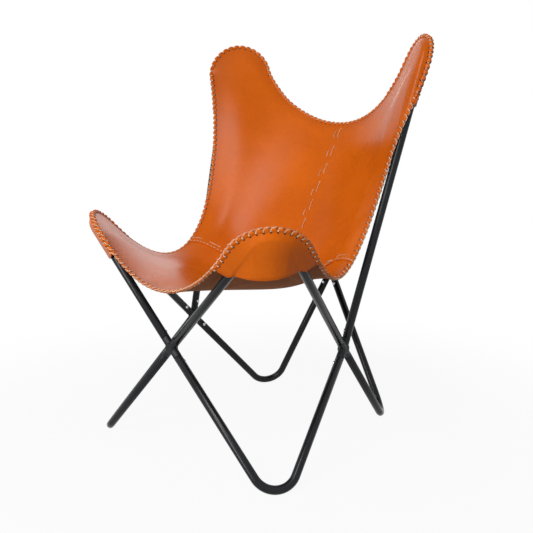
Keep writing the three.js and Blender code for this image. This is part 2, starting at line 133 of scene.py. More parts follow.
def smooth_step(low: float, high: float, value: Array) -> Array:
    """0 below low, 1 above high, and a smooth rise between."""
    share = np.clip((value - low) / (high - low), 0.0, 1.0)
    return share * share * (3.0 - 2.0 * share)


def bump(value: Array, centre: float, width: float) -> Array:
    """A round bump of height one at centre, which is gone a few widths away."""
    return np.exp(-(((value - centre) / width) ** 2))


def crowded(share: Array, crowding: float = 0.3) -> Array:
    """Shares from 0 to 1 that lie closer together towards 1."""
    return share * (1.0 + crowding * (1.0 - share * share))


def round_angles(sides: int) -> Array:
    """Even angles round a circle, from 0."""
    return 2.0 * np.pi * np.arange(sides) / sides


def round_spokes(across: Array, over: Array, sides: int) -> Array:
    """Directions at even angles round an axis.

    Args:
        across: The direction at angle 0, for one ring or for each of several.
        over: The direction a quarter turn on.
        sides: Number of directions.

    Returns:
        The directions, with the sides and 3 as the last two axes.
    """
    angle = round_angles(sides)[:, None]
    return np.cos(angle) * across[..., None, :] + np.sin(angle) * over[..., None, :]


def tube_faces(rings: int, sides: int) -> list[Face]:
    """Faces of a closed tube of rings, with a cap at both ends.

    Args:
        rings: Number of rings along the tube.
        sides: Points in each ring.

    Returns:
        The faces, as tuples of point indices.
    """
    faces: list[Face] = []
    last = (rings - 1) * sides
    for low in range(0, last, sides):
        for k in range(sides):
            after = (k + 1) % sides
            faces.append((low + k, low + after, low + sides + after, low + sides + k))
    return [*faces, tuple(range(sides - 1, -1, -1)), tuple(range(last, last + sides))]


def cord_rings(path: Array, beside: Array, radius: float, sides: int, twist_pitch: float) -> Array:
    """Rings of a twisted cord along a path.

    Args:
        path: Points along the cord's middle.
        beside: A direction across the path, for all points or for each one.
        radius: Mean radius of the cord.
        sides: Points in each ring.
        twist_pitch: Length of one turn of the twist.

    Returns:
        The ring points, as an array of rings by sides by 3.
    """
    ahead = unit(np.gradient(path, axis=0))
    across = np.broadcast_to(beside, path.shape)
    across = unit(across - dot(across, ahead) * ahead)
    steps = np.linalg.norm(np.diff(path, axis=0), axis=1)
    turn = 2.0 * np.pi * np.concatenate([[0.0], np.cumsum(steps)]) / twist_pitch
    ply = 1.0 + PLY_DEPTH * np.cos(PLIES * (round_angles(sides) - turn[:, None]))
    return path[:, None] + radius * ply[..., None] * round_spokes(across, np.cross(ahead, across), sides)


def smooth_path(points: Array, steps: int) -> Array:
    """A smooth line through a few points.

    Args:
        points: The points that the line passes.
        steps: Points of the line for each stretch.

    Returns:
        The points of the line.
    """
    padded = np.concatenate([2 * points[:1] - points[1:2], points, 2 * points[-1:] - points[-2:-1]])
    share = (np.arange(steps) / steps)[:, None]
    line = []
    for a, b, c, d in zip(padded, padded[1:], padded[2:], padded[3:]):
        line.append(0.5 * (2 * b + (c - a) * share + (2 * a - 5 * b + 4 * c - d) * share**2
                           + (3 * b - 3 * c + d - a) * share**3))
    return np.concatenate([*line, points[-1:]])


def linked(name: str, data: bpy.types.ID) -> bpy.types.Object:
    """A new object in the scene.

    Args:
        name: Name of the object.
        data: Its mesh, lamp or camera.

    Returns:
        The object.
    """
    made = bpy.data.objects.new(name, data)
    bpy.context.scene.collection.objects.link(made)
    return made


class MeshStock:
    """Collects points and faces of one piece before its mesh is made."""

    SHARP = math.radians(62)

    def __init__(self) -> None:
        """Starts with no points and no faces."""
        self.points: list[Array] = []
        self.faces: list[Face] = []
        self.finish_of: list[int] = []
        self.wear: list[Array] = []
        self.count = 0

    def add(self, points: Array, *groups: tuple[Iterable[Face], int], wear: float | Array = 0.0) -> None:
        """Adds points with faces that count from the first of them.

        Args:
            points: The points, in any shape that ends in 3.
            groups: Faces that index these points, each group with the number of its finish.
            wear: Share of darkening at the points: edge wear, and painted shade at the rims' stitches.
        """
        flat = points.reshape(-1, 3)
        for faces, finish in groups:
            for face in faces:
                self.faces.append(tuple(self.count + i for i in face))
                self.finish_of.append(finish)
        self.points.append(flat)
        self.wear.append(np.broadcast_to(np.ravel(wear), len(flat)))
        self.count += len(flat)

    def add_tube(self, rings: Array, wear: float | Array = 0.0) -> None:
        """Adds a closed tube of rings in the piece's first finish."""
        self.add(rings, (tube_faces(*rings.shape[:2]), 0), wear=wear)

    def add_sheet(self, middle: Array, normal: Array, thickness: float, wear: Array) -> None:
        """Adds a sheet whose upper face and rim take the piece's first finish, and its lower face the second.

        Args:
            middle: Grid of points half way through the sheet.
            normal: Directions of its upper side.
            thickness: Its thickness.
            wear: Share of edge wear at each point of the grid.
        """
        rows, columns = middle.shape[:2]
        under = rows * columns
        corners = [i * columns + j for i in range(rows - 1) for j in range(columns - 1)]
        top = [(a, a + 1, a + columns + 1, a + columns) for a in corners]
        bottom = [tuple(under + k for k in reversed(cell)) for cell in top]
        border = [*range(columns), *range(2 * columns - 1, under, columns),
                  *range(under - 2, under - columns - 1, -1), *range(under - 2 * columns, 0, -columns)]
        rim = [(b, a, under + a, under + b) for a, b in zip(border, [*border[1:], border[0]])]
        faces = np.stack([middle + thickness / 2 * normal, middle - thickness / 2 * normal])
        self.add(faces, (top, 0), (bottom, 1), (rim, 0), wear=np.stack([wear, wear]))

    def piece(self, name: str, finishes: Sequence["Finish"]) -> bpy.types.Object:
        """Makes the piece, with its faces pointing out.

        Args:
            name: Name of the piece.
            finishes: The finishes that its faces index.

        Returns:
            The piece, linked to the scene.
        """
        mesh = bpy.data.meshes.new(name)
        mesh.from_pydata(np.concatenate(self.points).tolist(), [], self.faces)
        for finish in finishes:
            mesh.materials.append(finish.material())
        mesh.polygons.foreach_set("material_index", self.finish_of)
        mesh.attributes.new(WEAR_AND_SHADE, "FLOAT", "POINT").data.foreach_set("value", np.concatenate(self.wear))
        work = bmesh.new()
        work.from_mesh(mesh)
        bmesh.ops.recalc_face_normals(work, faces=work.faces)
        work.to_mesh(mesh)
        work.free()
        mesh.shade_smooth()
        mesh.set_sharp_from_angle(angle=self.SHARP)
        return linked(name, mesh)


def seat_piece(piece: bpy.types.Object, slot: Slot, *nodes: str) -> bpy.types.Object:
    """Puts a piece on the chair's one body and reports it.

    Args:
        piece: The piece.
        slot: The record's material slot of the piece; not used.
        nodes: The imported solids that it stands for.

    Returns:
        The same piece.
    """
    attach(piece, ROOT)
    if nodes:
        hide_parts(*nodes)
    LOG.info("%s: %d faces", piece.name, len(piece.data.polygons))
    return piece


def connect(tree: bpy.types.NodeTree, node: bpy.types.Node, inputs: dict[Any, Any]) -> None:
    """Sets or links the inputs of a node.

    Args:
        tree: The node tree.
        node: The node.
        inputs: A value or a socket for each input.
    """
    for key, value in inputs.items():
        if isinstance(value, Socket):
            tree.links.new(value, node.inputs[key])
        else:
            node.inputs[key].default_value = value


def add_node(tree: bpy.types.NodeTree, kind: str, inputs: dict[Any, Any], **settings: str) -> bpy.types.Node:
    """A new node with its inputs set or linked.

    Args:
        tree: The node tree.
        kind: The node's type, without its common first word.
        inputs: A value or a socket for each input.
        settings: Other settings of the node.

    Returns:
        The node.
    """
    made = tree.nodes.new(f"ShaderNode{kind}")
    for name, value in settings.items():
        setattr(made, name, value)
    connect(tree, made, inputs)
    return made


def opaque(colour: Colour) -> tuple[float, ...]:
    """A colour with its alpha."""
    return (*colour, 1.0)


@dataclass(frozen=True)
class Noise:
    """Cloudy noise: features to the metre, number of finer layers, their weight, and how far it is warped."""

    scale: float
    detail: float
    roughness: float = 0.55
    twist: float = 0.0

    def lay(self, tree: bpy.types.NodeTree, coords: Socket) -> Socket:
        """The noise, from 0 to 1."""
        layers = {"Detail": self.detail, "Roughness": self.roughness, "Distortion": self.twist}
        return add_node(tree, "TexNoise", {"Vector": coords, "Scale": self.scale, **layers}).outputs["Fac"]


@dataclass(frozen=True)
class Pores:
    """Distance to the nearest of many scattered points, with so many to the metre."""

    scale: float

    def lay(self, tree: bpy.types.NodeTree, coords: Socket) -> Socket:
        """The distance."""
        return add_node(tree, "TexVoronoi", {"Vector": coords, "Scale": self.scale}).outputs["Distance"]


@dataclass(frozen=True)
class EdgeWearAndShade:
    """The share of darkening that a piece's mesh holds: edge wear, and painted shade at the rims' stitches.
    """

    def lay(self, tree: bpy.types.NodeTree, coords: Socket) -> Socket:
        """The share, which does not depend on the coordinates."""
        return add_node(tree, "Attribute", {}, attribute_name=WEAR_AND_SHADE).outputs["Fac"]


@dataclass(frozen=True)
class Tint:
    """A colour that a pattern lays over those before it, from none at start to most at stop."""

    pattern: str
    colour: Colour
    most: float = 1.0
    start: float = 0.3
    stop: float = 0.7


@dataclass(frozen=True)
class Finish:
    """A surface finish of named patterns, whose material is made on first use.

    Tints lie over its colour. Its roughness follows a weighted sum of patterns between two values, and so
    does its relief, which is depth high and shows by its strength. The shader takes other values as given.
    """

    MIX_INPUTS = (0, 6, 7)
    MIX_OUTPUT = 2

    name: str
    patterns: dict[str, Noise | Pores | EdgeWearAndShade]
    colour: Colour
    tints: tuple[Tint, ...]
    rough: dict[str, float]
    roughness: tuple[float, float]
    height: dict[str, float]
    depth: float
    strength: float
    shader: dict[str, Any]

    def material(self) -> bpy.types.Material:
        """The finish's material.

        Returns:
            The material, which is made the first time.
        """
        made = bpy.data.materials.get(self.name)
        if made is None:
            made = bpy.data.materials.new(self.name)
            made.use_nodes = True
            self.lay(made.node_tree)
        return made

    def lay(self, tree: bpy.types.NodeTree) -> None:
        """Lays out the nodes of the finish.

        Args:
            tree: The material's node tree.
        """
        coords = add_node(tree, "TexCoord", {}).outputs["Object"]
        values = {name: pattern.lay(tree, coords) for name, pattern in self.patterns.items()}
        colour: Any = opaque(self.colour)
        for tint in self.tints:
            share = self.spread(tree, values[tint.pattern], (0.0, tint.most), tint.start, tint.stop)
            inputs = dict(zip(self.MIX_INPUTS, (share, colour, opaque(tint.colour))))
            colour = add_node(tree, "Mix", inputs, data_type="RGBA").outputs[self.MIX_OUTPUT]
        rough = self.spread(tree, self.weigh(tree, values, self.rough), self.roughness)
        relief = {"Distance": self.depth, "Strength": self.strength}
        height = self.weigh(tree, values, self.height)
        normal = add_node(tree, "Bump", {"Height": height, **relief}).outputs["Normal"]
        inputs = {"Base Color": colour, "Roughness": rough, "Normal": normal, **self.shader}
        connect(tree, tree.nodes["Principled BSDF"], inputs)

    @staticmethod
    def spread(tree: bpy.types.NodeTree, value: Socket, span: tuple[float, float],
               start: float = 0.3, stop: float = 0.7) -> Socket:
        """Maps a value between start and stop to the two ends of a span."""
        inputs = {"Value": value, "From Min": start, "From Max": stop, "To Min": span[0], "To Max": span[1]}
        return add_node(tree, "MapRange", inputs).outputs["Result"]

    @staticmethod
    def weigh(tree: bpy.types.NodeTree, values: dict[str, Socket], weights: dict[str, float]) -> Socket:
        """Adds values, each times its weight.

        Args:
            tree: The node tree.
            values: The values by name.
            weights: The weights by name.

        Returns:
            The sum.
        """
        total: Any = 0.0
        for name, weight in weights.items():
            inputs = {0: values[name], 1: weight, 2: total}
            total = add_node(tree, "Math", inputs, operation="MULTIPLY_ADD").outputs[0]
        return total


# The smooth, waxed grain side of cognac leather, darker where handled, with fine pores and faint creases.
# Its wear tint also paints shade into the pinched gaps between the beads of the laced rims.
BURNISHED = (0.17, 0.026, 0.002)
GRAIN = Finish(
    "grain_leather",
    {"cloud": Noise(5.5, 4.0), "fleck": Noise(130.0, 5.0, 0.7), "pores": Pores(620.0),
     "creases": Noise(26.0, 8.0, 0.62, 1.2), "wear": EdgeWearAndShade()},
    colour=(0.52, 0.095, 0.0016),
    tints=(Tint("cloud", (0.64, 0.128, 0.0035)), Tint("fleck", BURNISHED, 0.16),
           Tint("wear", BURNISHED, 0.85, start=0.0, stop=1.0)),
    rough={"cloud": 0.7, "creases": 0.3}, roughness=(0.22, 0.31),
    height={"pores": 0.10, "creases": 0.5, "fleck": 0.05}, depth=0.0007, strength=0.07,
    shader={"Specular IOR Level": 0.10})

# The brushed flesh side of the leather: matt brown nap with brushed patches and fine fibre.
NAP = (0.200, 0.062, 0.022)
SUEDE = Finish(
    "suede_leather", {"patches": Noise(14.0, 6.0, 0.6, 0.6), "nap": Noise(900.0, 3.0, 0.7)},
    colour=NAP, tints=(Tint("patches", (0.360, 0.122, 0.047)), Tint("nap", NAP, 0.5)),
    rough={"nap": 1.0}, roughness=(0.82, 1.0),
    height={"nap": 0.7, "patches": 0.6}, depth=0.0006, strength=0.5,
    shader={"Specular IOR Level": 0.15, "Sheen Weight": 0.25, "Sheen Roughness": 0.5,
            "Sheen Tint": opaque((0.75, 0.45, 0.28))})

# Pale, uneven waxed cord with dark wax in its twist and short dark hairs.
WAX = (0.30, 0.160, 0.080)
CORD = Finish(
    "waxed_cord", {"lengths": Noise(40.0, 3.0), "hairs": Noise(1600.0, 4.0, 0.75, 0.8)},
    colour=(0.70, 0.520, 0.370), tints=(Tint("lengths", WAX, 0.45), Tint("hairs", WAX, 0.4, 0.45, 0.75)),
    rough={"hairs": 1.0}, roughness=(0.62, 0.85), height={"hairs": 1.0}, depth=0.0003, strength=0.6,
    shader={"Specular IOR Level": 0.3})

# Painted shade in a punched lacing hole: a shallow near-black dish with faint fibre, for its shadowed depth.
HOLE_SHADE = Finish(
    "punched_hole_shade", {"fibre": Noise(1400.0, 3.0)},
    colour=(0.010, 0.006, 0.004), tints=(Tint("fibre", (0.050, 0.018, 0.008)),),
    rough={"fibre": 1.0}, roughness=(0.85, 1.0), height={"fibre": 1.0}, depth=0.0003, strength=0.5,
    shader={"Specular IOR Level": 0.1})

# Black powder coat on steel, with a fine orange-peel texture and faint handling marks.
BLACK = Finish(
    "satin_black_coat",
    {"cloud": Noise(18.0, 5.0), "peel": Noise(950.0, 2.0), "rubs": Noise(70.0, 7.0, 0.7, 1.0)},
    colour=(0.0065, 0.0070, 0.0085), tints=(Tint("cloud", (0.0130, 0.0140, 0.0165)),),
    rough={"cloud": 0.8, "rubs": 0.2}, roughness=(0.20, 0.26),
    height={"peel": 1.0, "rubs": 0.3}, depth=0.00016, strength=0.02,
    shader={"Specular IOR Level": 0.20})
BLACK_CAST = replace(BLACK, name="satin_black_cast", roughness=(0.32, 0.46))

# Bright zinc-plated steel of the screws, with fine turning marks.
ZINC = Finish(
    "zinc_steel", {"marks": Noise(1100.0, 5.0, 0.7, 2.0), "cloud": Noise(260.0, 2.0)},
    colour=(0.46, 0.47, 0.50), tints=(Tint("cloud", (0.72, 0.73, 0.74)),),
    rough={"marks": 1.0}, roughness=(0.20, 0.42), height={"marks": 1.0}, depth=0.00008, strength=0.4,
    shader={"Metallic": 1.0})


@dataclass
class Bend:
    """The axis of a tube that runs from a crossing round a corner to another crossing.

    From the corner, to_a and to_b lead to the crossings and bisector leads into the bend. across leads from
    the first run to the second, and up is the upper side of the plane that the tube lies in. sweep is the
    angle and arc the length of the axis from the crest of the bend to either end of it.
    """

    cross_a: Array
    corner: Array
    cross_b: Array
    radius: float

    def __post_init__(self) -> None:
        """Works out the bend."""
        self.to_a = unit(self.cross_a - self.corner)
        self.to_b = unit(self.cross_b - self.corner)
        self.bisector = unit(self.to_a + self.to_b)
        self.across = unit(self.to_b - self.to_a)
        half = 0.5 * math.acos(float(np.dot(self.to_a, self.to_b)))
        self.sweep = math.pi / 2 - half
        self.arc = self.radius * self.sweep
        self.centre = self.corner + self.bisector * (self.radius / math.sin(half))
        normal = unit(np.cross(self.to_a, self.to_b))
        self.up = normal if normal[2] > 0 else -normal

    def spokes(self, angles: Array) -> Array:
        """Outward directions at angles from the crest of the bend."""
        turn = np.asarray(angles, float)[..., None]
        return -np.cos(turn) * self.bisector + np.sin(turn) * self.across

    def nearest(self, points: Array) -> tuple[Array, Array, Array]:
        """The points of the axis beside other points.

        Args:
            points: Points near the tube.

        Returns:
            The axis points, the outward directions there, and the lengths along the axis from its crest,
            which are negative towards the first crossing.
        """
        from_centre = points - self.centre
        angle = np.arctan2(from_centre @ self.across, -(from_centre @ self.bisector))
        held = np.clip(angle, -self.sweep, self.sweep)
        on_bend = self.centre + self.radius * self.spokes(held)
        run = np.where((angle < 0)[..., None], self.to_a, self.to_b)
        along = np.where(np.abs(angle) > self.sweep, np.sum((points - on_bend) * run, axis=-1), 0.0)
        travel = self.radius * held + np.sign(angle) * np.maximum(along, 0.0)
        return *self.at(travel), travel

    def at(self, travel: Array) -> tuple[Array, Array]:
        """Points of the axis and outward directions there.

        Args:
            travel: Lengths along the axis from its crest.

        Returns:
            The points and the directions.
        """
        held = np.clip(travel, -self.arc, self.arc)
        outward = self.spokes(held / self.radius)
        run = np.where((travel < 0)[..., None], self.to_a, self.to_b)
        return self.centre + self.radius * outward + np.abs(travel - held)[..., None] * run, outward


@dataclass
class TubeFrame:
    """The knock-down frame: four wing loops, four foot loops, cross connectors and screws."""

    # Outline of a screw's head as shares: of its radius and height, then of its socket's radius with the
    # head's height, then of the socket's radius with the height of its floor.
    SKIRT = ((0.94, -0.5), (0.97, 0.06))
    MOUTH = ((1.12, 1.0), (1.0, 0.96))
    FLOOR = ((1.0, 1.0), (0.2, 0.8))
    HEXAGON_RINGS = 3

    tube_radius: float = 0.009
    foot_bend_radius: float = 0.047
    wing_bend_radius: float = 0.042
    hub_arm: float = 0.026
    joint_gap: float = 0.0003
    boss_radius: float = 0.0105
    boss_proud: float = 0.0002
    screw_from_tube_end: float = 0.012
    screw_head_radius: float = 0.004
    screw_head_height: float = 0.0024
    screw_socket_radius: float = 0.0017
    screw_socket_depth: float = 0.0014
    screw_sides: int = 36
    dome_base: float = 0.25
    dome_sweep: float = 0.95
    dome_rings: int = 7
    end_chamfer: float = 0.0006
    cap_inset: float = 0.0018
    fuse_voxel: float = 0.001
    soften_share: float = 0.5
    soften_rounds: int = 7
    sides: int = 40
    bend_steps: int = 40
    shift: Array = spot(0.0, -0.0058277, 0.0)
    front_cross: Array = spot(0.0, -0.284, 0.253)
    back_cross: Array = spot(0.0, 0.288, 0.345)
    side_cross: Array = spot(0.237, 0.004, 0.233)
    front_foot: Array = spot(0.285, -0.272, -0.0336086)
    back_foot: Array = spot(0.196, 0.272, -0.0387683)
    front_wing: Array = spot(0.290, -0.294, 0.543)
    back_wing: Array = spot(0.318, 0.252, 1.026)

    @property
    def tube_start(self) -> float:
        """Length from a crossing to the end of a tube."""
        return self.hub_arm + self.joint_gap

    def cross(self, name: str) -> Array:
        """The point where four tubes meet.

        Args:
            name: front, back, left or right.

        Returns:
            The point.
        """
        points = (self.front_cross, self.back_cross, self.side_cross, mirrored(self.side_cross))
        return dict(zip(CROSSINGS, points))[name] + self.shift

    def bend(self, loop: Loop, end: End, side: Side) -> Bend:
        """The axis of one tube.

        Args:
            loop: Which kind of tube.
            end: Which end of the chair.
            side: Which side of the chair.

        Returns:
            The axis.
        """
        corners = {(Loop.WING, End.FRONT): self.front_wing, (Loop.WING, End.BACK): self.back_wing,
                   (Loop.FOOT, End.FRONT): self.front_foot, (Loop.FOOT, End.BACK): self.back_foot}
        corner = corners[loop, end]
        corner = (corner if side is Side.LEFT else mirrored(corner)) + self.shift
        radius = self.wing_bend_radius if loop is Loop.WING else self.foot_bend_radius
        return Bend(self.cross(end.value), corner, self.cross(side.value), radius)

    def build(self) -> None:
        """Builds and dresses every tube, connector and screw."""
        for loop, end, side in TUBES:
            self.build_tube(loop, end, side)
        for name in CROSSINGS:
            self.build_connector(name)

    def build_tube(self, loop: Loop, end: End, side: Side) -> None:
        """Builds one bent tube with softened ends, worn flat where it stands on the floor.

        Args:
            loop: Which kind of tube.
            end: Which end of the chair.
            side: Which side of the chair.
        """
        bend = self.bend(loop, end, side)
        spokes = bend.spokes(np.linspace(-bend.sweep, bend.sweep, self.bend_steps + 1))
        tips = []
        for cross, run in ((bend.cross_a, bend.to_a), (bend.cross_b, bend.to_b)):
            tip = cross - run * self.tube_start
            tips.append([tip, tip, tip - run * self.end_chamfer])
        points = np.concatenate([tips[0], bend.centre + bend.radius * spokes, tips[1][::-1]])
        outward = np.concatenate([[spokes[0]] * 3, spokes, [spokes[-1]] * 3])
        radius = np.full(len(points), self.tube_radius)
        radius[[0, -1]] -= self.cap_inset
        radius[[1, -2]] -= self.end_chamfer
        rings = points[:, None] + radius[:, None, None] * round_spokes(outward, bend.up, self.sides)
        rings[..., 2] = np.maximum(rings[..., 2], 0.0)
        stock = MeshStock()
        stock.add_tube(rings)
        node = f"{loop.value}_loop_{end.value}_{side.value}"
        seat_piece(stock.piece(f"tube_{loop.value}_{end.value}_{side.value}", [BLACK]), Slot.TUBE, node)

    def arms(self, name: str) -> list[tuple[str, Array]]:
        """The tube ends that meet at a crossing.

        Args:
            name: front, back, left or right.

        Returns:
            The name of each tube without its word loop, and its direction from the crossing.
        """
        here = self.cross(name)
        return [(f"{loop.value}_{end.value}_{side.value}", unit(self.bend(loop, end, side).corner - here))
                for loop, end, side in TUBES if name in (end.value, side.value)]

    def build_connector(self, name: str) -> None:
        """Builds one cast cross with softened crotches, and the screws beside it.

        Args:
            name: front, back, left or right.
        """
        centre = self.cross(name)
        inward = unit(np.array([-centre[0], -(centre[1] - self.shift[1]), 0.0]))
        work = bmesh.new()
        bars = [(direction, 0.0, self.hub_arm, self.tube_radius) for _, direction in self.arms(name)]
        half = self.tube_radius + self.boss_proud
        bars.append((inward, -half, half, self.boss_radius))
        for direction, low, high, radius in bars:
            turn = Vector(direction).to_track_quat("Z", "Y").to_matrix().to_4x4()
            middle = Matrix.Translation(Vector(centre + direction * (low + high) / 2))
            bmesh.ops.create_cone(work, cap_ends=True, segments=self.sides, radius1=radius, radius2=radius,
                                  depth=high - low, matrix=middle @ turn)
        mesh = bpy.data.meshes.new(f"connector_{name}")
        work.to_mesh(mesh)
        work.free()
        piece = linked(f"connector_{name}", mesh)
        self.fuse(piece)
        piece.data.materials.append(BLACK_CAST.material())
        seat_piece(piece, Slot.CONNECTOR, f"cross_connector_{name}")
        for tube, direction in self.arms(name):
            self.build_screw(name, tube, direction, inward)

    def fuse(self, piece: bpy.types.Object) -> None:
        """Fuses overlapping bars into one skin with soft inner corners.

        Args:
            piece: The piece, whose mesh is replaced.
        """
        remesh = piece.modifiers.new("fuse", "REMESH")
        remesh.mode = "VOXEL"
        remesh.voxel_size = self.fuse_voxel
        soften = piece.modifiers.new("soften", "SMOOTH")
        soften.factor = self.soften_share
        soften.iterations = self.soften_rounds
        depsgraph = bpy.context.evaluated_depsgraph_get()
        skin = bpy.data.meshes.new_from_object(piece.evaluated_get(depsgraph))
        piece.modifiers.clear()
        old = piece.data
        piece.data = skin
        bpy.data.meshes.remove(old)
        skin.name = piece.name
        skin.shade_smooth()

    def build_screw(self, name: str, tube: str, direction: Array, inward: Array) -> None:
        """Builds one button-head screw with a hexagon socket.

        Args:
            name: The crossing that the screw belongs to.
            tube: The tube that it holds.
            direction: The tube's direction from the crossing.
            inward: The level direction from the crossing to the middle of the chair.
        """
        axis = unit(inward - np.dot(inward, direction) * direction)
        at = self.tube_start + self.screw_from_tube_end
        foot = self.cross(name) + direction * at + axis * (self.tube_radius + self.joint_gap)
        head, height, socket = self.screw_head_radius, self.screw_head_height, self.screw_socket_radius
        floor = height - self.screw_socket_depth
        base = self.dome_base
        turns = np.linspace(0, self.dome_sweep, self.dome_rings)
        profile = [(head * a, height * b) for a, b in self.SKIRT]
        profile += [(head * math.cos(a), height * (base + (1 - base) * math.sin(a))) for a in turns]
        profile += [(socket * a, height * b) for a, b in self.MOUTH]
        profile += [(socket * a, floor * b) for a, b in self.FLOOR]
        sixth = math.pi / 3
        hexagon = math.cos(sixth / 2) / np.cos(np.mod(round_angles(self.screw_sides), sixth) - sixth / 2)
        spokes = round_spokes(unit(np.cross(axis, direction)), direction, self.screw_sides)
        rings = []
        for index, (radius, level) in enumerate(profile):
            in_socket = index >= len(profile) - self.HEXAGON_RINGS
            reach = radius * (hexagon if in_socket else np.ones(self.screw_sides))
            rings.append(foot + axis * level + reach[:, None] * spokes)
        stock = MeshStock()
        stock.add_tube(np.array(rings))
        seat_piece(stock.piece(f"button_screw_{name}_{tube}", [ZINC]), Slot.SCREW, f"screw_{name}_{tube}")


class Curve:
    """A line of points that is read by its share of the length."""

    def __init__(self, points: Array) -> None:
        """Measures the line.

        Args:
            points: The points, in order.
        """
        self.points = points
        steps = np.linalg.norm(np.diff(points, axis=0), axis=1)
        lengths = np.concatenate([[0.0], np.cumsum(steps)])
        self.length = float(lengths[-1])
        self.shares = lengths / self.length

    def at(self, share: Array) -> Array:
        """Points at shares of the length, from 0 to 1."""
        return self.read(self.points, share)

    def read(self, values: Array, share: Array) -> Array:
        """Values that belong to the line's points, at shares of its length."""
        return np.stack([np.interp(share, self.shares, column) for column in values.T], axis=-1)


def bezier(controls: Sequence[Array], samples: int) -> Array:
    """Points of a Bezier curve of any degree.

    Args:
        controls: Its control points.
        samples: Number of steps.

    Returns:
        The points.
    """
    share = np.linspace(0.0, 1.0, samples + 1)[:, None]
    layer = [np.broadcast_to(c, (samples + 1, 3)) for c in controls]
    while len(layer) > 1:
        layer = [a + (b - a) * share for a, b in zip(layer, layer[1:])]
    return layer[0]


@dataclass(frozen=True)
class LipDrape:
    """How the leather hangs that reaches past one wing's tube: drawn out flat, or folded over the tube."""

    travel: tuple[float, ...]
    stretch: tuple[float, ...]
    fold_degrees: tuple[float, ...]
    calm: float = 0.012
    calm_steps: int = 5
    easing: float = 0.010
    steepest: float = 0.8
    least_run: float = 1e-6

    def read(self, values: Sequence[float], travel: Array) -> Array:
        """Values at lengths along the tube from the crest of its bend, eased between the stations."""
        ease = np.linspace(-1.0, 1.0, self.calm_steps) * self.calm
        return sum(np.interp(travel + shift, self.travel, values) for shift in ease) / len(ease)

    def hang(self, points: Array, inner: Array, wing: Bend, radius: float) -> Array:
        """Points of the leather with the lip drawn out and folded.

        Args:
            points: Points of the leather as it lies flat over the tube.
            inner: Points a little further from the leather's edge, for its slope.
            wing: The axis of the tube.
            radius: From that axis to the middle of the leather.

        Returns:
            The moved points.
        """
        axis, outward, travel = wing.nearest(points)
        past = dot(points - axis, outward)
        lean = points - inner
        slope = dot(lean, wing.up) / np.maximum(dot(lean, outward), self.least_run)
        reach = np.maximum(past, 0.0)
        drawn = reach**2 / (reach + self.easing) * (self.read(self.stretch, travel)[..., None] - 1)
        width = reach + drawn
        height = dot(points - axis, wing.up) + np.clip(slope, -self.steepest, self.steepest) * drawn
        fold = np.radians(self.read(self.fold_degrees, travel))[..., None]
        turn = np.minimum(width / radius, fold)
        rest = width - radius * turn
        moved = (axis + height * (np.sin(turn) * outward + np.cos(turn) * wing.up)
                 + rest * (np.cos(turn) * outward - np.sin(turn) * wing.up))
        return np.where(past > 0, moved, points)


DRAWN_LIP = LipDrape((-0.16, -0.07, 0.0, 0.06, 0.15, 0.28), (1.0, 1.33, 1.80, 1.60, 1.33, 1.0), (0.0,) * 6)
FOLDED_LIP = LipDrape((-0.15, -0.06, -0.01, 0.04, 0.12, 0.17, 0.22, 0.28),
                      (1.0, 0.67, 0.53, 0.93, 1.27, 1.27, 1.13, 1.0),
                      (0.0, 0.0, 20.0, 85.0, 102.0, 98.0, 45.0, 0.0))
LIPS = {(End.BACK, Side.LEFT): FOLDED_LIP, (End.BACK, Side.RIGHT): DRAWN_LIP}


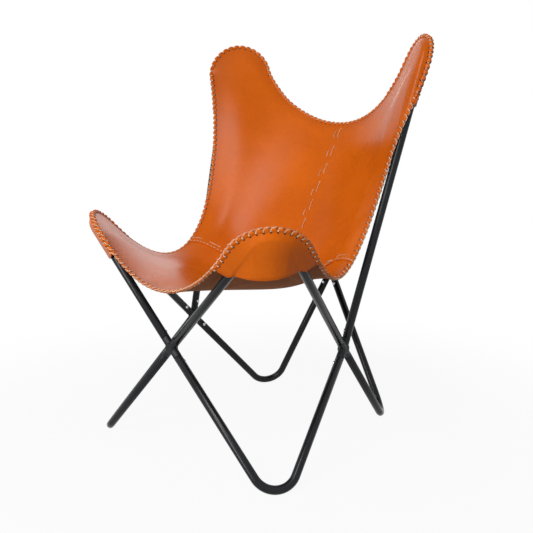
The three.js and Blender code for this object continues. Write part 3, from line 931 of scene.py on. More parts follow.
@dataclass
class SlingShape:
    """The hang of the leather: four edges, a centre line and the surface between them."""

    tubes: TubeFrame
    thickness: float = 0.003
    front_lip: float = 0.010
    back_lip: float = 0.020
    front_tip_radius: float = 0.088
    back_tip_radius: float = 0.071
    tube_clearance: float = 0.0005
    front_run: float = 0.027
    front_pull: Array = spot(0.0, -0.016, -0.030)
    back_run: float = 0.132
    back_pull: Array = spot(0.0, 0.118, 0.294)
    side_front_run: float = 0.163
    side_back_run: float = 0.049
    side_back_rise: float = 0.014
    side_pull: Array = spot(-0.046, 0.088, 0.014)
    hem_fade: float = 3.0
    seat_corner: Array = spot(0.0, 0.068, 0.337)
    hollow_radius: float = 0.150
    seam_edge_run: float = 0.343
    seam_centre_run: float = 0.395
    crease_depth: float = 0.0011
    crease_at: float = 0.615
    crease_width: float = 0.016
    crease_lean: float = 0.10
    crease_start: tuple[float, float] = (0.08, 0.30)
    drape_height: float = 0.0006
    waves: tuple[tuple[float, float], ...] = ((7.0, 9.0), (-3.0, 5.0))
    wave_phase: float = 0.7
    fade: tuple[float, float] = (0.22, 0.12)
    samples: int = 160
    fine_samples: int = 640
    calm: int = 20
    calm_rounds: int = 3
    step: float = 0.004
    inset: float = 0.03

    def __post_init__(self) -> None:
        """Lays out the edges and the centre line."""
        self.wings = {end: self.tubes.bend(Loop.WING, end, Side.LEFT) for end in End}
        self.front = self.end_edge(End.FRONT, self.front_run, self.front_pull)
        self.back = self.end_edge(End.BACK, self.back_run, self.back_pull)
        self.side = self.side_edge()
        self.spine = self.centre_line()

    @property
    def lift(self) -> float:
        """Height of the leather's middle above the axis of the tube it hangs on."""
        return self.tubes.tube_radius + self.thickness / 2 + self.tube_clearance

    def tip(self, end: End, hand: int) -> Array:
        """Half of the round tip over the left wing bend at one end.

        Args:
            end: The end of the chair.
            hand: -1 towards the bend's first crossing and 1 towards its second.

        Returns:
            Points from the crest to the end of the bend.
        """
        wing, at_front = self.wings[end], end is End.FRONT
        lip = self.front_lip if at_front else self.back_lip
        radius = self.front_tip_radius if at_front else self.back_tip_radius
        crest = wing.radius + self.tubes.tube_radius + lip
        centre = wing.centre + wing.up * self.lift - wing.bisector * (crest - radius)
        return centre + radius * wing.spokes(hand * np.linspace(0.0, wing.sweep, self.samples + 1))

    def end_edge(self, end: End, run: float, pull: Array) -> Curve:
        """The front or back edge, from the middle of the chair to the crest of the left wing.

        Args:
            end: The end of the chair.
            run: How far the edge goes on along the tube before it swings away.
            pull: The point that draws the middle of the edge, from the crossing at this end.

        Returns:
            The edge.
        """
        tip = self.tip(end, -1)
        swing = tip[-1] + self.wings[end].to_a * run
        middle = self.tubes.cross(end.value) + pull
        whole = bezier([tip[-1], swing, middle, mirrored(swing), mirrored(tip[-1])], 2 * self.fine_samples)
        return Curve(np.concatenate([tip, whole[1:self.fine_samples + 1]])[::-1])

    def side_edge(self) -> Curve:
        """The left edge.

        Returns:
            The edge, from the crest of the front wing to the crest of the back wing.
        """
        front, back = self.wings[End.FRONT], self.wings[End.BACK]
        first, last = self.tip(End.FRONT, 1), self.tip(End.BACK, 1)
        pull = self.tubes.cross(Side.LEFT.value) + self.side_pull
        swing_front = first[-1] + front.to_b * self.side_front_run
        swing_back = last[-1] + back.to_b * self.side_back_run + back.up * self.side_back_rise
        middle = bezier([first[-1], swing_front, pull, swing_back, last[-1]], 2 * self.fine_samples)
        return Curve(np.concatenate([first, middle[1:-1], last[::-1]]))

    def centre_line(self) -> Curve:
        """The line down the middle.

        Returns:
            A seat run and a back run, with a round hollow between them.
        """
        start, stop = self.front.at(np.array(0.0)), self.back.at(np.array(0.0))
        corner = self.seat_corner + self.tubes.shift
        hollow = Bend(start, corner, stop, self.hollow_radius)
        spokes = hollow.spokes(np.linspace(-hollow.sweep, hollow.sweep, self.samples + 1))
        line = Curve(np.concatenate([[start], hollow.centre + hollow.radius * spokes, [stop]]))
        even = line.at(np.linspace(0.0, 1.0, self.fine_samples + 1))
        reach = self.calm
        for _ in range(self.calm_rounds):
            total = sum(np.roll(even, k, axis=0) for k in range(-reach, reach + 1))
            even[reach:-reach] = total[reach:-reach] / (2 * reach + 1)
        return Curve(even)

    def point(self, p: Array, q: Array) -> Array:
        """Points of the middle surface.

        Args:
            p: Place across the sling, from -1 at its right edge to 1 at its left edge.
            q: Place along it, from 0 at the front edge to 1 at the back edge.

        Returns:
            The points.
        """
        p, q = np.broadcast_arrays(np.asarray(p, float), np.asarray(q, float))
        made = self.flat_point(p, q)
        inner = self.flat_point(p * (1 - self.inset), 0.5 + (q - 0.5) * (1 - self.inset))
        for (end, side), lip in LIPS.items():
            mine = (side.sign * p > 0)[..., None]
            hung = lip.hang(made, inner, self.tubes.bend(Loop.WING, end, side), self.lift)
            made = np.where(mine, hung, made)
        return made

    def flat_point(self, p: Array, q: Array) -> Array:
        """Points of the middle surface as it lies before its lips are drawn out and folded.

        Args:
            p: Place across the sling.
            q: Place along it.

        Returns:
            The points.
        """
        share = np.abs(p)
        blend = (share * share)[..., None]
        power = np.array([1.0, 1.0, self.hem_fade])
        made = self.spine.at(q) * (1 - blend) + self.side.at(q) * blend
        for edge, near in ((self.front, 1 - q), (self.back, q)):
            own = edge.at(share) - edge.points[0] * (1 - blend) - edge.points[-1] * blend
            made = made + own * near[..., None] ** power
        return np.where((p < 0)[..., None], mirrored(made), made)

    def normal(self, p: Array, q: Array) -> Array:
        """Directions of the upper side of the middle surface.

        Args:
            p: Place across the sling.
            q: Place along it.

        Returns:
            The directions.
        """
        p, q = np.broadcast_arrays(np.asarray(p, float), np.asarray(q, float))
        left = self.point(np.minimum(p + self.step, 1), q) - self.point(np.maximum(p - self.step, -1), q)
        back = self.point(p, np.minimum(q + self.step, 1)) - self.point(p, np.maximum(q - self.step, 0))
        return unit(np.cross(left, back))

    def seam(self, p: Array) -> Array:
        """Place along the sling at which the seat panel meets the back panels.

        Args:
            p: Place across the sling.

        Returns:
            The places.
        """
        at_centre = self.seam_centre_run / self.spine.length
        at_edge = self.seam_edge_run / self.side.length
        return at_centre + (at_edge - at_centre) * np.square(p)

    def ripple(self, p: Array, q: Array) -> Array:
        """Height of the soft folds that a sat-in sling shows, which fade out towards its edges.

        Args:
            p: Place across the sling.
            q: Place along the sling.

        Returns:
            Heights along the upper side.
        """
        across, along = self.fade
        fade = smooth_step(0.0, across, 1 - np.abs(p))
        fade = fade * smooth_step(0.0, along, q) * smooth_step(0.0, along, 1 - q)
        crease = self.crease_depth * bump(q + self.crease_lean * p, self.crease_at, self.crease_width)
        (a, b), (c, d) = self.waves
        drape = np.sin(a * p + b * q) * np.sin(c * p + d * q + self.wave_phase)
        return fade * (self.drape_height * drape - crease * smooth_step(*self.crease_start, p))


class HemLine:
    """The sling's whole edge as one closed line of even stations, ten to a stitch."""

    STEPS = 10
    PITCH = 0.0138
    INSIDE = 0.011
    CALM = 12
    ROUNDNESS = 0.65

    def __init__(self, shape: SlingShape) -> None:
        """Lays out the stations and their directions.

        Args:
            shape: The hang of the leather.
        """
        self.shape = shape
        lengths = [2 * shape.front.length, shape.side.length, 2 * shape.back.length, shape.side.length]
        total = sum(lengths)
        stitches = round(total / self.PITCH)
        self.count = stitches * self.STEPS
        at = np.arange(self.count) * total / self.count
        marks = np.concatenate([[0.0], np.cumsum(lengths)])
        self.p = np.interp(at, marks, [-1.0, 1.0, 1.0, -1.0, -1.0])
        self.q = np.interp(at, marks, [0.0, 0.0, 1.0, 1.0, 0.0])
        self.starts = [int(round(m / total * self.count)) for m in marks]
        self.point = shape.point(self.p, self.q)
        self.along = unit(np.roll(self.point, -1, axis=0) - np.roll(self.point, 1, axis=0))
        inset_p, inset_q = self.INSIDE / shape.front.length, self.INSIDE / shape.spine.length
        inner = shape.point(np.clip(self.p, inset_p - 1, 1 - inset_p), np.clip(self.q, inset_q, 1 - inset_q))
        rough = self.point - inner
        rough = unit(rough - dot(rough, self.along) * self.along)
        window = range(-self.CALM, self.CALM + 1)
        calm = sum(np.roll(rough, k, axis=0) * math.cos(math.pi * k / (2 * self.CALM + 2)) for k in window)
        self.out = unit(calm - dot(calm, self.along) * self.along)
        self.up = np.cross(self.out, self.along)
        beat = np.abs(np.sin(np.pi * np.arange(self.count) / self.STEPS))
        self.swell = beat ** self.ROUNDNESS

    def span(self, edge: Edge) -> Array:
        """Indices of the stations of one edge, with the first one of the next edge."""
        place = list(Edge).index(edge)
        return np.arange(self.starts[place], self.starts[place + 1] + 1) % self.count


@dataclass(frozen=True)
class RimLine:
    """A laced rim: the middle of its edge at each station, the way out of its leather and its outer face."""

    point: Array
    out: Array
    face: Array

    def off(self, at: int, way: float, level: float) -> Array:
        """A point way further out than the edge at a station, and level above its middle."""
        k = at % len(self.point)
        return self.point[k] + way * self.out[k] + level * self.face[k]


@dataclass
class BeadProfile:
    """The rolled and laced rim of a piece of leather, which swells between the stitches.

    Its slope is given by shares of the inset and of the height, and its nose by lengths back from its
    reach and shares of the height. Its wear is given from the leather to the nose.
    """

    inset: float = 0.0070
    sunk: float = 0.0007
    pinched_out: float = -0.0012
    swollen_out: float = 0.0026
    pinched_half: float = 0.0019
    swollen_half: float = 0.0036
    flare: float = 0.0017
    flare_start: float = 0.0035
    slope: tuple[tuple[float, float], ...] = ((0.78, 0.35), (0.52, 0.80))
    nose: tuple[tuple[float, float], ...] = ((0.0030, 1.0), (0.0013, 0.86), (0.0004, 0.50))
    rim_wear: tuple[float, ...] = (0.04, 0.06, 0.04, 0.0, 0.0, 0.02, 0.06)
    # Darkening at the stitches: partly wear, partly painted shade in the pinched gaps between the beads.
    stitch_shade_and_wear: float = 0.6

    def rings(self, rim: RimLine, swell: Array, thickness: float, paired: Array) -> Array:
        """Rings of the rim along an edge.

        Args:
            rim: The middle of the leather's edge.
            swell: 0 at a stitch and 1 between stitches.
            thickness: Thickness of the leather.
            paired: 1 where another rim is laced to the lower side of this one, which turns it up.

        Returns:
            The ring points.
        """
        reach = self.pinched_out + (self.swollen_out - self.pinched_out) * swell
        half = self.pinched_half + (self.swollen_half - self.pinched_half) * swell
        turned = self.flare * swell * paired
        whole = np.ones_like(half)
        upper = [(-self.inset * whole, (thickness / 2 - self.sunk) * whole)]
        upper += [(-a * self.inset * whole, b * half + (1 - b) * thickness / 2) for a, b in self.slope]
        upper += [(reach - a, b * half) for a, b in self.nose]
        lines = []
        for a, b in [*upper, (reach, 0.0 * half), *((a, -b) for a, b in reversed(upper))]:
            lift = turned * smooth_step(-self.flare_start, 0.0, a)
            lines.append(rim.point + a[:, None] * rim.out + (b + lift)[:, None] * rim.face)
        return np.stack(lines, axis=1)

    def wear(self, swell: Array) -> Array:
        """Darkening of the ring points: wear along the rim, and painted shade with wear at the stitches."""
        row = np.array([*self.rim_wear, *self.rim_wear[-2::-1]])
        return row + (self.stitch_shade_and_wear * (1 - swell) ** 2)[:, None]


@dataclass
class LeatherSling:
    """The seat panel, the two back panels and their laced rims."""

    shape: SlingShape
    hem: HemLine
    bead: BeadProfile
    pockets: Sequence["CornerPocket"]
    lap: float = 0.008
    lap_lift: float = 0.0009
    lap_fade: float = 3.0
    centre_lift: float = 0.0001
    relax_rounds: int = 70
    free_from_centre: tuple[float, float] = (0.15, 0.45)
    free_from_seam: tuple[float, float] = (0.10, 0.25)
    free_from_tip: tuple[float, float] = (0.10, 0.30)
    edge_margin: float = 0.004
    edge_wear: float = 0.26
    wear_width: float = 0.035
    half_width: float = 0.35
    whole_length: float = 0.8
    columns: int = 120
    seat_rows: int = 56
    back_rows: int = 84
    seat_flat: tuple[float, float] = (0.69, 0.43)
    seat_area: float = 0.229
    back_flat: tuple[float, float] = (0.42, 0.58)
    back_area: float = 0.163

    def build(self) -> None:
        """Builds and dresses the three panels and the four rims."""
        rims = {edge: self.build_rim(edge) for edge in Edge}
        seat = self.build_seat()
        for side, edge in ((Side.LEFT, Edge.LEFT), (Side.RIGHT, Edge.RIGHT)):
            panel = self.build_back(side)

    @property
    def lap_q(self) -> float:
        """The lap at the cross seam, as a share of the sling's length."""
        return self.lap / self.shape.spine.length

    @property
    def lap_p(self) -> float:
        """The lap at the centre seam, as a share of half the sling's width."""
        return self.lap / self.shape.back.length

    def relax(self, grid: Array, share: Array, wing: Bend) -> Array:
        """A grid of leather that is drawn smooth between its edges and kept clear of a tube.

        Args:
            grid: Points of the middle of the leather.
            share: How far each point may move, from 0 to 1.
            wing: The axis of the tube that the leather lies on.

        Returns:
            The points.
        """
        eased = grid.copy()
        hold = share[1:-1, 1:-1, None] / 2
        for _ in range(self.relax_rounds):
            middle = (eased[:-2, 1:-1] + eased[2:, 1:-1] + eased[1:-1, :-2] + eased[1:-1, 2:]) / 4
            eased[1:-1, 1:-1] += hold * (middle - eased[1:-1, 1:-1])
            from_axis = eased - wing.nearest(eased)[0]
            away = np.linalg.norm(from_axis, axis=-1, keepdims=True)
            eased += from_axis * np.maximum(self.shape.lift / away - 1, 0.0)
        return eased

    def freedom(self, p: Array, q: Array, side: Side) -> Array:
        """How far the points of a back panel are drawn smooth, at its tip alone where its lip is folded.

        Args:
            p: Places of its grid across the sling.
            q: Places of its grid along the sling.
            side: The side of the panel.

        Returns:
            Shares from 0 to 1.
        """
        free = smooth_step(*self.free_from_centre, np.abs(p))
        free = free * smooth_step(*self.free_from_seam, q - self.shape.seam(p))
        if LIPS[End.BACK, side] is FOLDED_LIP:
            free = free * (1 - smooth_step(*self.free_from_tip, 2 - np.abs(p) - q))
        return free

    def sheet(self, name: str, p: Array, q: Array, lift: Array, eased: Optional[Side]) -> bpy.types.Object:
        """One panel of leather.

        Args:
            name: Name of the piece.
            p: Places of its grid across the sling.
            q: Places of its grid along the sling.
            lift: Extra height of the grid at its laps.
            eased: The side whose back wing the panel is drawn smooth over, if any.

        Returns:
            The piece.
        """
        p, q = np.broadcast_arrays(p, q)
        least, most = self.edge_margin, 1 - self.edge_margin
        middle = self.shape.point(p, q)
        normal = self.shape.normal(np.clip(p, -most, most), np.clip(q, least, most))
        if eased is not None:
            free = self.freedom(p, q, eased)
            middle = self.relax(middle, free, self.shape.tubes.bend(Loop.WING, End.BACK, eased))
            fresh = unit(np.cross(np.gradient(middle, axis=1), np.gradient(middle, axis=0)))
            fresh *= np.sign(dot(fresh, normal))
            normal = unit(normal + (fresh - normal) * free[..., None])
        middle = middle + (self.shape.ripple(p, q) + lift)[..., None] * normal
        to_edge = np.minimum(self.half_width * (1 - np.abs(p)), self.whole_length * np.minimum(q, 1 - q))
        wear = self.edge_wear * (1 - smooth_step(0.0, self.wear_width, to_edge))
        stock = MeshStock()
        stock.add_sheet(middle, normal, self.shape.thickness, wear)
        return stock.piece(name, [GRAIN, SUEDE])

    def build_seat(self) -> bpy.types.Object:
        """The seat panel, whose rear edge lies under the back panels.

        Returns:
            The piece.
        """
        even = np.linspace(-1.0, 1.0, self.columns + 1)[None, :]
        p = np.sign(even) * crowded(np.abs(even))
        share = 1 - crowded(np.linspace(1.0, 0.0, self.seat_rows + 1))[:, None]
        q = share * (self.shape.seam(p) + self.lap_q)
        near = smooth_step(-self.lap_fade * self.lap_q, -self.lap_q, q - self.shape.seam(p))
        panel = self.sheet("seat_leather", p, q, -self.lap_lift * near, None)
        return seat_piece(panel, Slot.LEATHER, "seat_panel")

    def build_back(self, side: Side) -> bpy.types.Object:
        """One back panel. Its front edge lies on the seat, and the left one laps over the right one.

        Args:
            side: The side of the panel.

        Returns:
            The piece.
        """
        lap_p, lap_q = self.lap_p, self.lap_q
        across = crowded(np.linspace(0.0, 1.0, self.columns // 2 + 1))[None, :]
        p = side.sign * (-lap_p + (1 + lap_p) * across)
        share = crowded(np.linspace(0.0, 1.0, self.back_rows + 1))[:, None]
        first = self.shape.seam(p) - lap_q
        q = first + (1 - first) * share
        on_seat = 1 - smooth_step(lap_q, self.lap_fade * lap_q, q - self.shape.seam(p))
        at_centre = 1 - smooth_step(lap_p, self.lap_fade * lap_p, side.sign * p)
        lift = self.lap_lift * on_seat + side.sign * self.centre_lift * at_centre
        panel = self.sheet(f"back_leather_{side.value}", p, q, lift, side)
        return seat_piece(panel, Slot.LEATHER, f"back_panel_{side.value}")

    def build_rim(self, edge: Edge) -> bpy.types.Object:
        """The rolled rim along one edge.

        Args:
            edge: The edge.

        Returns:
            The piece.
        """
        span = self.hem.span(edge)
        swell = self.hem.swell[span]
        paired = np.zeros(self.hem.count)
        for pocket in self.pockets:
            paired[pocket.span] = 1.0
        rim = RimLine(self.hem.point[span], self.hem.out[span], self.hem.up[span])
        stock = MeshStock()
        stock.add_tube(self.bead.rings(rim, swell, self.shape.thickness, paired[span]), self.bead.wear(swell))
        return seat_piece(stock.piece(f"rolled_rim_{edge.value}", [GRAIN]), Slot.LEATHER)


@dataclass(frozen=True)
class PocketCut:
    """How a pocket is cut, and how its leather hangs between the tube's two legs.

    It covers the bend and the two lengths legs of the straight runs, and slant more of them at its rim.
    The middle of its lower edge lies sag further down than the edge's ends, and bulge further out. Its
    section leaves the tube at the angle leave, in radians from the plane of the tube.
    """

    legs: tuple[float, float]
    slant: float
    flat: tuple[float, float]
    area: float
    sag: float = 0.011
    bulge: float = 0.0
    leave: float = 0.0


FRONT_CUT = PocketCut(legs=(0.069, 0.054), slant=0.016, flat=(0.20, 0.14), area=0.0172)
POCKETS = {
    (End.FRONT, Side.LEFT): replace(FRONT_CUT, sag=-0.009, bulge=0.026, leave=0.42),
    (End.BACK, Side.LEFT): PocketCut(legs=(0.110, 0.110), slant=0.0, flat=(0.24, 0.16), area=0.0236),
    (End.FRONT, Side.RIGHT): FRONT_CUT,
    (End.BACK, Side.RIGHT): PocketCut(legs=(0.110, 0.110), slant=0.0, flat=(0.24, 0.21), area=0.0324),
}


@dataclass
class CornerPocket:
    """One pocket on the outside of a wing, laced to the sling's edge and wrapped round the tube.

    A web between the tube's two legs closes it.
    """

    # One part in so many of the whole edge is searched to either side of the wing's crest.
    SEARCH = 8

    shape: SlingShape
    hem: HemLine
    bead: BeadProfile
    end: End
    side: Side
    cut: PocketCut
    layer_gap: float = 0.0003
    tube_gap: float = 0.0005
    least_wrap: float = 0.15
    edge_overlap: float = 0.004
    row_step: int = 3
    rim_rows: int = 6
    wrap_rows: int = 8
    web_rows: int = 18
    foot_wear: float = 0.3
    end_wear: float = 0.2

    def __post_init__(self) -> None:
        """Finds the stretch of the sling's edge that the pocket is laced to, and its section there."""
        self.name = f"{self.end.value}_{self.side.value}"
        self.bend = self.shape.tubes.bend(Loop.WING, self.end, self.side)
        crest = self.hem.starts[WINGS.index((self.end, self.side))]
        reach = self.hem.count // self.SEARCH
        wide = np.arange(crest - reach, crest + reach) % self.hem.count
        _, _, travel = self.bend.nearest(self.hem.point[wide])
        first, last = (leg + self.cut.slant + self.bend.arc for leg in self.cut.legs)
        inside = np.nonzero((travel >= -first) & (travel <= last))[0]
        self.span = wide[inside[0]:inside[-1] + 1]
        under = self.hem.up[self.span] * (self.shape.thickness + self.layer_gap)
        rim = self.hem.point[self.span] - under
        axis, outward, self.travel = self.bend.nearest(rim)
        from_end = np.where(self.travel < 0, first, last)
        self.drawn_in = self.cut.slant / from_end
        self.leaving = self.cut.leave * (1 - np.square(self.travel / from_end))
        self.wrap_radius = self.shape.tubes.tube_radius + self.tube_gap + self.shape.thickness / 2
        outside = -self.bend.up
        sideways, below = np.sum((rim - axis) * outward, axis=1), (rim - axis) @ outside
        away = np.maximum(np.hypot(sideways, below), self.wrap_radius)
        touch = np.arctan2(sideways, below) - np.arccos(self.wrap_radius / away)
        self.touch = np.maximum(touch, self.least_wrap)
        inward = unit(self.wrap(0.0) - rim)
        face = np.cross(unit(np.gradient(rim, axis=0)), inward)
        self.rim = RimLine(rim, -inward, unit(face * np.sign(face @ outside)[:, None]))

    def wrap(self, share: float) -> Array:
        """Points on the middle of the leather where it goes round the tube.

        Args:
            share: 0 where the leather meets the tube and 1 where it leaves it.

        Returns:
            The points, which draw in towards the crest as the share grows.
        """
        angle = (self.touch * (1 - share) + self.leaving * share)[:, None]
        axis, outward = self.bend.at(self.travel * (1 - self.drawn_in * (1 + share) / 2))
        return axis + self.wrap_radius * (np.sin(angle) * outward - np.cos(angle) * self.bend.up)

    def build(self) -> None:
        """Builds and dresses the pocket and its rim."""
        swell = self.hem.swell[self.span]
        rings = self.bead.rings(self.rim, swell, self.shape.thickness, np.ones_like(swell))
        stock = MeshStock()
        stock.add_tube(rings, self.bead.wear(swell))
        rim = seat_piece(stock.piece(f"pocket_rim_{self.name}", [GRAIN]), Slot.LEATHER)
        self.build_body()

    def lower_edge(self, foot: Array) -> Array:
        """The free lower edge.

        Args:
            foot: The line where the leather leaves the tube.

        Returns:
            A point for each one of that line.
        """
        overlap = unit(foot[-1] - foot[0]) * self.edge_overlap
        first, last = foot[0] + overlap, foot[-1] - overlap
        low = (first + last) / 2 + self.bend.bisector * self.cut.sag - self.bend.up * self.cut.bulge
        edge = bezier([first, 2 * low - (first + last) / 2, last], len(foot) - 1)
        return Curve(edge).at(Curve(foot).shares)

    def build_body(self) -> bpy.types.Object:
        """The pocket's leather, from its laced rim to its free lower edge.

        Returns:
            The piece.
        """
        rim, meets = self.rim.point, self.wrap(0.0)
        lines = [rim + (meets - rim) * s for s in np.linspace(0.0, 1.0, self.rim_rows + 1)[:-1]]
        lines += [self.wrap(s) for s in np.linspace(0.0, 1.0, self.wrap_rows + 1)]
        foot = lines[-1]
        drop = self.lower_edge(foot) - foot
        leaving = unit(foot - lines[-2]) * np.linalg.norm(drop, axis=1, keepdims=True)
        for s in np.linspace(0.0, 1.0, self.web_rows + 1)[1:]:
            lines.append(foot + s * (1 - s) ** 2 * leaving + s * s * (2 - s) * drop)
        picks = np.unique(np.append(np.arange(0, len(rim), self.row_step), len(rim) - 1))
        grid = np.stack([line[picks] for line in lines], axis=1)
        normal = unit(np.cross(np.gradient(grid, axis=0), np.gradient(grid, axis=1)))
        normal *= np.sign(np.sum(normal @ -self.bend.up))
        wear = np.zeros(grid.shape[:2])
        wear[:, -2:] = self.foot_wear
        wear[[0, 1, -2, -1]] = self.end_wear
        stock = MeshStock()
        stock.add_sheet(grid, normal, self.shape.thickness, wear)
        piece = stock.piece(f"pocket_leather_{self.name}", [GRAIN, SUEDE])
        return seat_piece(piece, Slot.LEATHER, f"pocket_{self.name}")


@dataclass
class EdgeLacing:
    """The whip-stitched cord round the whole edge, with its punched holes."""

    # A hole's section from its puckered rim to its middle: shares of its radius, and heights.
    DISH = ((1.5, -0.0004), (1.3, 0.0004), (1.1, 0.0005), (1.0, 0.0002), (0.15, 0.0001))
    PUCKER_ROWS = 2

    shape: SlingShape
    hem: HemLine
    pockets: list[CornerPocket]
    cord_radius: float = 0.0011
    cord_sunk: float = 0.0006
    cord_air: float = 0.3
    cord_steps: int = 3
    rim_half: float = 0.0019
    edge_in: float = 0.0006
    hole_lean: float = 0.6
    out_share: float = 0.82
    top_share: float = 0.5
    edge_share: float = 0.7
    lift_off: int = 3
    hole_inset: float = 0.0062
    hole_radius: float = 0.0018
    hole_sides: int = 12
    hole_proud: float = 0.0001
    pucker_wear: float = 0.45
    crest: float = 0.0012
    twist_pitch: float = 0.0045
    sides: int = 8

    def build(self) -> None:
        """Builds and dresses the cord and the holes along the four edges."""
        upper = RimLine(self.hem.point, self.hem.out, self.hem.up)
        lower = self.under_side()
        for edge in Edge:
            span = self.hem.span(edge)[:-1]
            stitches = span[span % HemLine.STEPS == 0]
            self.build_cord(edge, stitches, upper, lower)
            self.build_holes(edge, stitches, upper, lower)

    def under_side(self) -> RimLine:
        """The rim that the cord goes round on the lower side of each station.

        Returns:
            The sling's own rim, or that of a pocket where there is one.
        """
        rim = RimLine(self.hem.point.copy(), self.hem.out.copy(), -self.hem.up)
        for pocket in self.pockets:
            rim.point[pocket.span] = pocket.rim.point
            rim.out[pocket.span] = pocket.rim.out
            rim.face[pocket.span] = pocket.rim.face
        return rim

    def leg(self) -> list[tuple[int, float, float]]:
        """The cord's way from a hole, on whose outer wall it leans, over its highest point to the rim's edge.

        Returns:
            Stations past the hole, lengths out from the edge and heights above the leather's middle.
        """
        r = self.cord_radius
        inset = self.hole_inset - self.hole_lean * self.hole_radius
        flush, top = self.shape.thickness / 2 + self.cord_air * r, self.rim_half + r
        return [(0, -inset, self.cord_sunk), (0, -self.out_share * inset, flush + r),
                (0, -self.top_share * inset, top), (1, -self.edge_in, self.edge_share * top)]

    def build_cord(self, edge: Edge, stitches: Array, upper: RimLine, lower: RimLine) -> None:
        """The whip stitches over one edge, each from a hole on the lower side to the next one on the upper.

        Args:
            edge: The edge.
            stitches: Stations of its stitches.
            upper: The rim on the upper side.
            lower: The rim on the lower side.
        """
        leg, steps, height = self.leg(), HemLine.STEPS, self.crest + self.cord_radius
        crossing = ((self.lift_off, 0.25), (steps // 2, 0.5), (steps - self.lift_off, 0.75))
        stock = MeshStock()
        for k in stitches:
            route = [lower.off(k + step, way, level) for step, way, level in leg]
            for step, share in crossing:
                below, above = (rim.off(k + step, height, 0.0) for rim in (lower, upper))
                route.append((1 - share) * below + share * above)
            route += [upper.off(k + steps - step, way, level) for step, way, level in reversed(leg)]
            path = smooth_path(np.array(route), self.cord_steps)
            rings = cord_rings(path, self.hem.along[k], self.cord_radius, self.sides, self.twist_pitch)
            stock.add_tube(rings)
        seat_piece(stock.piece(f"lacing_{edge.value}", [CORD]), Slot.CORD, f"edge_lacing_{edge.value}")

    def build_holes(self, edge: Edge, stitches: Array, upper: RimLine, lower: RimLine) -> None:
        """The punched holes of one edge: puckered rims round shallow dishes of painted shade.

        Args:
            edge: The edge.
            stitches: Stations of its stitches.
            upper: The rim on the upper side.
            lower: The rim on the lower side.
        """
        faces = tube_faces(len(self.DISH), self.hole_sides)
        split = self.PUCKER_ROWS * self.hole_sides
        level = self.shape.thickness / 2 + self.hole_proud
        stock = MeshStock()
        for k in stitches:
            for rim in (upper, lower):
                centre = rim.off(k, -self.hole_inset, level)
                spokes = self.hole_radius * round_spokes(rim.out[k], self.hem.along[k], self.hole_sides)
                rings = np.array([centre + rim.face[k] * rise + reach * spokes for reach, rise in self.DISH])
                # The puckered outer rows take the grain, and the inner rows the painted shade of the hole.
                stock.add(rings, (faces[:split], 1), (faces[split:], 0), wear=self.pucker_wear)
        seat_piece(stock.piece(f"lace_holes_{edge.value}", [HOLE_SHADE, GRAIN]), Slot.LEATHER)


@dataclass
class SeamStitching:
    """The two-row running stitch of the centre seam and the cross seam."""

    # Height of a stitch along its length, in radii of its thread.
    RISE = (-0.3, 0.75, 1.0, 1.05, 1.05, 1.05, 1.0, 0.75, -0.3)

    shape: SlingShape
    thread_radius: float = 0.00075
    thread_clear: float = 0.0009
    long_stitch: float = 0.030
    long_gap: float = 0.024
    second_stitch: float = 0.018
    second_gap: float = 0.0408
    second_start: float = 0.027
    short_stitch: float = 0.0055
    short_gap: float = 0.0045
    row_offset: float = 0.006
    short_row_offset: float = 0.0036
    centre_start: float = 0.012
    centre_stop: float = 0.985
    cross_stop: float = 0.975
    samples: int = 1200
    sides: int = 8
    twist_pitch: float = 0.004

    def build(self) -> None:
        """Builds and dresses the stitching of the seams, on both faces of the leather."""
        share = np.linspace(0.0, 1.0, self.samples + 1)
        beside = np.full_like(share, self.row_offset / self.shape.back.length)
        start = float(self.shape.seam(np.array(0.0))) + self.centre_start
        q = start + (self.centre_stop - start) * share
        stock = MeshStock()
        self.run(stock, beside, q, self.long_stitch, self.long_gap)
        self.run(stock, -beside, q, self.second_stitch, self.second_gap, self.second_start)
        seat_piece(stock.piece("centre_seam_stitches", [CORD]), Slot.CORD)
        p = self.cross_stop * (2 * share - 1)
        seam, length = self.shape.seam(p), self.shape.spine.length
        stock = MeshStock()
        self.run(stock, p, seam + self.row_offset / length, self.long_stitch, self.long_gap)
        self.run(stock, p, seam - self.short_row_offset / length, self.short_stitch, self.short_gap)
        seat_piece(stock.piece("cross_seam_stitches", [CORD]), Slot.CORD)

    def run(self, stock: MeshStock, p: Array, q: Array, stitch: float, gap: float,
            start: float = 0.0) -> None:
        """Adds one row of running stitches, which shows on the lower side where it is hidden on the upper.

        Args:
            stock: Takes the stitches.
            p: Places of the row across the sling.
            q: Places of the row along the sling.
            stitch: Length of a stitch.
            gap: Length between two stitches.
            start: Length before the first stitch.
        """
        normals = self.shape.normal(p, q)
        row = Curve(self.shape.point(p, q) + self.shape.ripple(p, q)[:, None] * normals)
        rise = self.shape.thickness / 2 + self.thread_clear + np.array(self.RISE) * self.thread_radius
        at = start
        while at + stitch < row.length:
            for begin, length, face in ((at, stitch, 1.0), (at + stitch, gap, -1.0)):
                if begin + length > row.length:
                    continue
                shares = (begin + length * np.linspace(0.0, 1.0, len(rise))) / row.length
                normal = unit(row.read(normals, shares))
                path = row.at(shares) + face * rise[:, None] * normal
                beside = np.cross(normal, np.gradient(path, axis=0))
                stock.add_tube(cord_rings(path, beside, self.thread_radius, self.sides, self.twist_pitch))
            at += stitch + gap


@dataclass(frozen=True)
class Lamp:
    """A soft lamp with a flat face, which shows as a sheen on the chair if it mirrors, or else lights it."""

    name: str
    place: tuple[float, float, float]
    aim: tuple[float, float, float]
    size: tuple[float, float]
    watts: float
    mirrors: bool

    def build(self) -> None:
        """Hangs the lamp at its place and turns it to its aim."""
        data = bpy.data.lights.new(self.name, "AREA")
        data.shape = "RECTANGLE"
        data.energy = self.watts
        data.size, data.size_y = self.size
        lamp = linked(self.name, data)
        lamp.visible_glossy = self.mirrors
        lamp.visible_diffuse = not self.mirrors
        lamp.location = self.place
        lamp.rotation_euler = (Vector(self.aim) - lamp.location).to_track_quat("-Z", "Y").to_euler()


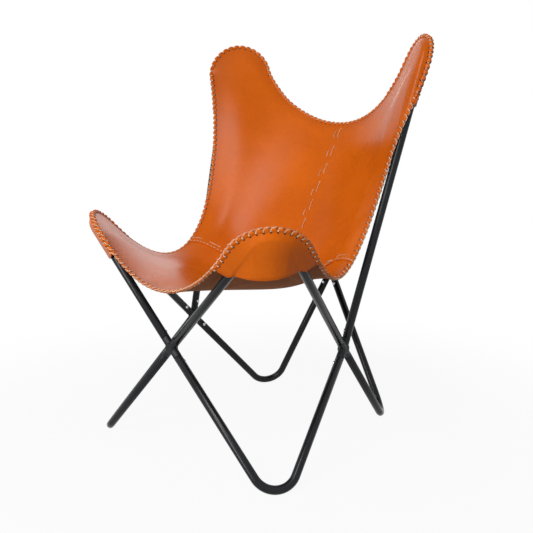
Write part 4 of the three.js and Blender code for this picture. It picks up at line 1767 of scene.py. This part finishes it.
LAMPS = (
    Lamp("key", (0.59, -2.35, 1.90), (0.0, 0.0, 0.5), (1.8, 1.8), 84.0, mirrors=False),
    Lamp("rear", (-1.6, 2.1, 2.2), (0.0, 0.1, 0.5), (1.8, 1.8), 12.0, mirrors=False),
    Lamp("front_sheen", (0.39, -1.33, 2.13), (-0.08, 0.12, 0.55), (0.7, 0.7), 18.0, mirrors=True),
    Lamp("back_sheen", (-1.97, 3.05, 1.90), (0.0, -0.1, 0.4), (1.1, 1.3), 8.0, mirrors=True),
    Lamp("strip", (-0.05, -2.60, 1.25), (0.0, 0.0, 0.45), (0.6, 2.4), 50.0, mirrors=True),
)


@dataclass
class Studio:
    """The camera at the photograph's view, a pale floor and soft light."""

    target: Array = spot(0.0, -0.00583, 0.40)
    azimuth: float = 40.99
    elevation: float = 9.00
    distance: float = 1.65127
    sensor: float = 36.0
    lens: float = 47.12
    shift: tuple[float, float] = (0.0112, -0.0084)
    floor_half: float = 9.0
    floor_grey: Colour = (0.50, 0.50, 0.50)
    floor_white: float = 0.93
    fade_start: float = 0.45
    fade_stop: float = 1.3
    ambient: float = 0.20

    def build(self) -> None:
        """Builds the camera, the floor, the world and the lamps."""
        bpy.context.scene.view_settings.view_transform = "Standard"
        self.build_camera()
        self.build_floor()
        self.build_world()
        for lamp in LAMPS:
            lamp.build()
        LOG.info("studio: camera, floor, world and %d lamps", len(LAMPS))

    def build_camera(self) -> None:
        """The camera, for a square picture."""
        data = bpy.data.cameras.new("camera")
        data.sensor_width = self.sensor
        data.lens = self.lens
        data.shift_x, data.shift_y = self.shift
        camera = linked("camera", data)
        turn, tilt = math.radians(self.azimuth), math.radians(self.elevation)
        back = Vector((math.sin(turn) * math.cos(tilt), -math.cos(turn) * math.cos(tilt), math.sin(tilt)))
        camera.location = Vector(self.target) + back * self.distance
        camera.rotation_euler = (-back).to_track_quat("-Z", "Y").to_euler()
        bpy.context.scene.camera = camera

    @staticmethod
    def shows(tree: bpy.types.NodeTree) -> Socket:
        """Tells the rays that show the background from those that light the chair.

        Args:
            tree: The node tree of the floor or the world.

        Returns:
            1 for straight and mirrored rays and those through glass, and 0 for all others.
        """
        path = add_node(tree, "LightPath", {}).outputs
        shown = path["Is Camera Ray"]
        for kind in ("Is Glossy Ray", "Is Transmission Ray"):
            shown = add_node(tree, "Math", {0: shown, 1: path[kind]}, operation="MAXIMUM").outputs[0]
        return shown

    def build_floor(self) -> None:
        """A white floor that keeps the chair's shadow and fades into the background."""
        mesh = bpy.data.meshes.new("floor")
        h = self.floor_half
        mesh.from_pydata([(-h, -h, 0), (h, -h, 0), (h, h, 0), (-h, h, 0)], [], [(0, 1, 2, 3)])
        material = bpy.data.materials.new("studio_floor")
        material.use_nodes = True
        tree = material.node_tree
        tree.nodes.remove(tree.nodes["Principled BSDF"])
        matt = add_node(tree, "BsdfDiffuse", {"Color": opaque(self.floor_grey)})
        glow = add_node(tree, "Emission", {"Strength": 1.0})
        where = add_node(tree, "TexCoord", {}).outputs["Object"]
        away = add_node(tree, "VectorMath", {0: where}, operation="LENGTH").outputs["Value"]
        reach = {"From Min": self.fade_start, "From Max": self.fade_stop, "To Min": self.floor_white}
        fade = add_node(tree, "MapRange", {"Value": away, **reach}, interpolation_type="SMOOTHSTEP")
        inputs = {0: fade.outputs["Result"], 1: self.shows(tree)}
        share = add_node(tree, "Math", inputs, operation="MULTIPLY").outputs[0]
        whole = add_node(tree, "MixShader", {0: share, 1: matt.outputs[0], 2: glow.outputs[0]})
        tree.links.new(whole.outputs[0], tree.nodes["Material Output"].inputs["Surface"])
        mesh.materials.append(material)
        linked("floor", mesh)

    def build_world(self) -> None:
        """A white background, which lights the chair softly."""
        world = bpy.data.worlds.new("studio")
        world.use_nodes = True
        bpy.context.scene.world = world
        tree = world.node_tree
        background = tree.nodes["Background"]
        background.inputs["Color"].default_value = (1.0, 1.0, 1.0, 1.0)
        level = add_node(tree, "MapRange", {"Value": self.shows(tree), "To Min": self.ambient})
        tree.links.new(level.outputs["Result"], background.inputs["Strength"])


def main() -> None:
    """Builds the chair's sub-assemblies in order, and the studio round them."""
    logging.basicConfig(level=logging.INFO, format="%(name)s: %(message)s")
    Studio().build()
    tubes = TubeFrame()
    tubes.build()
    shape = SlingShape(tubes)
    hem = HemLine(shape)
    bead = BeadProfile()
    pockets = [CornerPocket(shape, hem, bead, end, side, cut) for (end, side), cut in POCKETS.items()]
    LeatherSling(shape, hem, bead, pockets).build()
    for pocket in pockets:
        pocket.build()
    EdgeLacing(shape, hem, pockets).build()
    SeamStitching(shape).build()


if __name__ == "__main__":
    main()
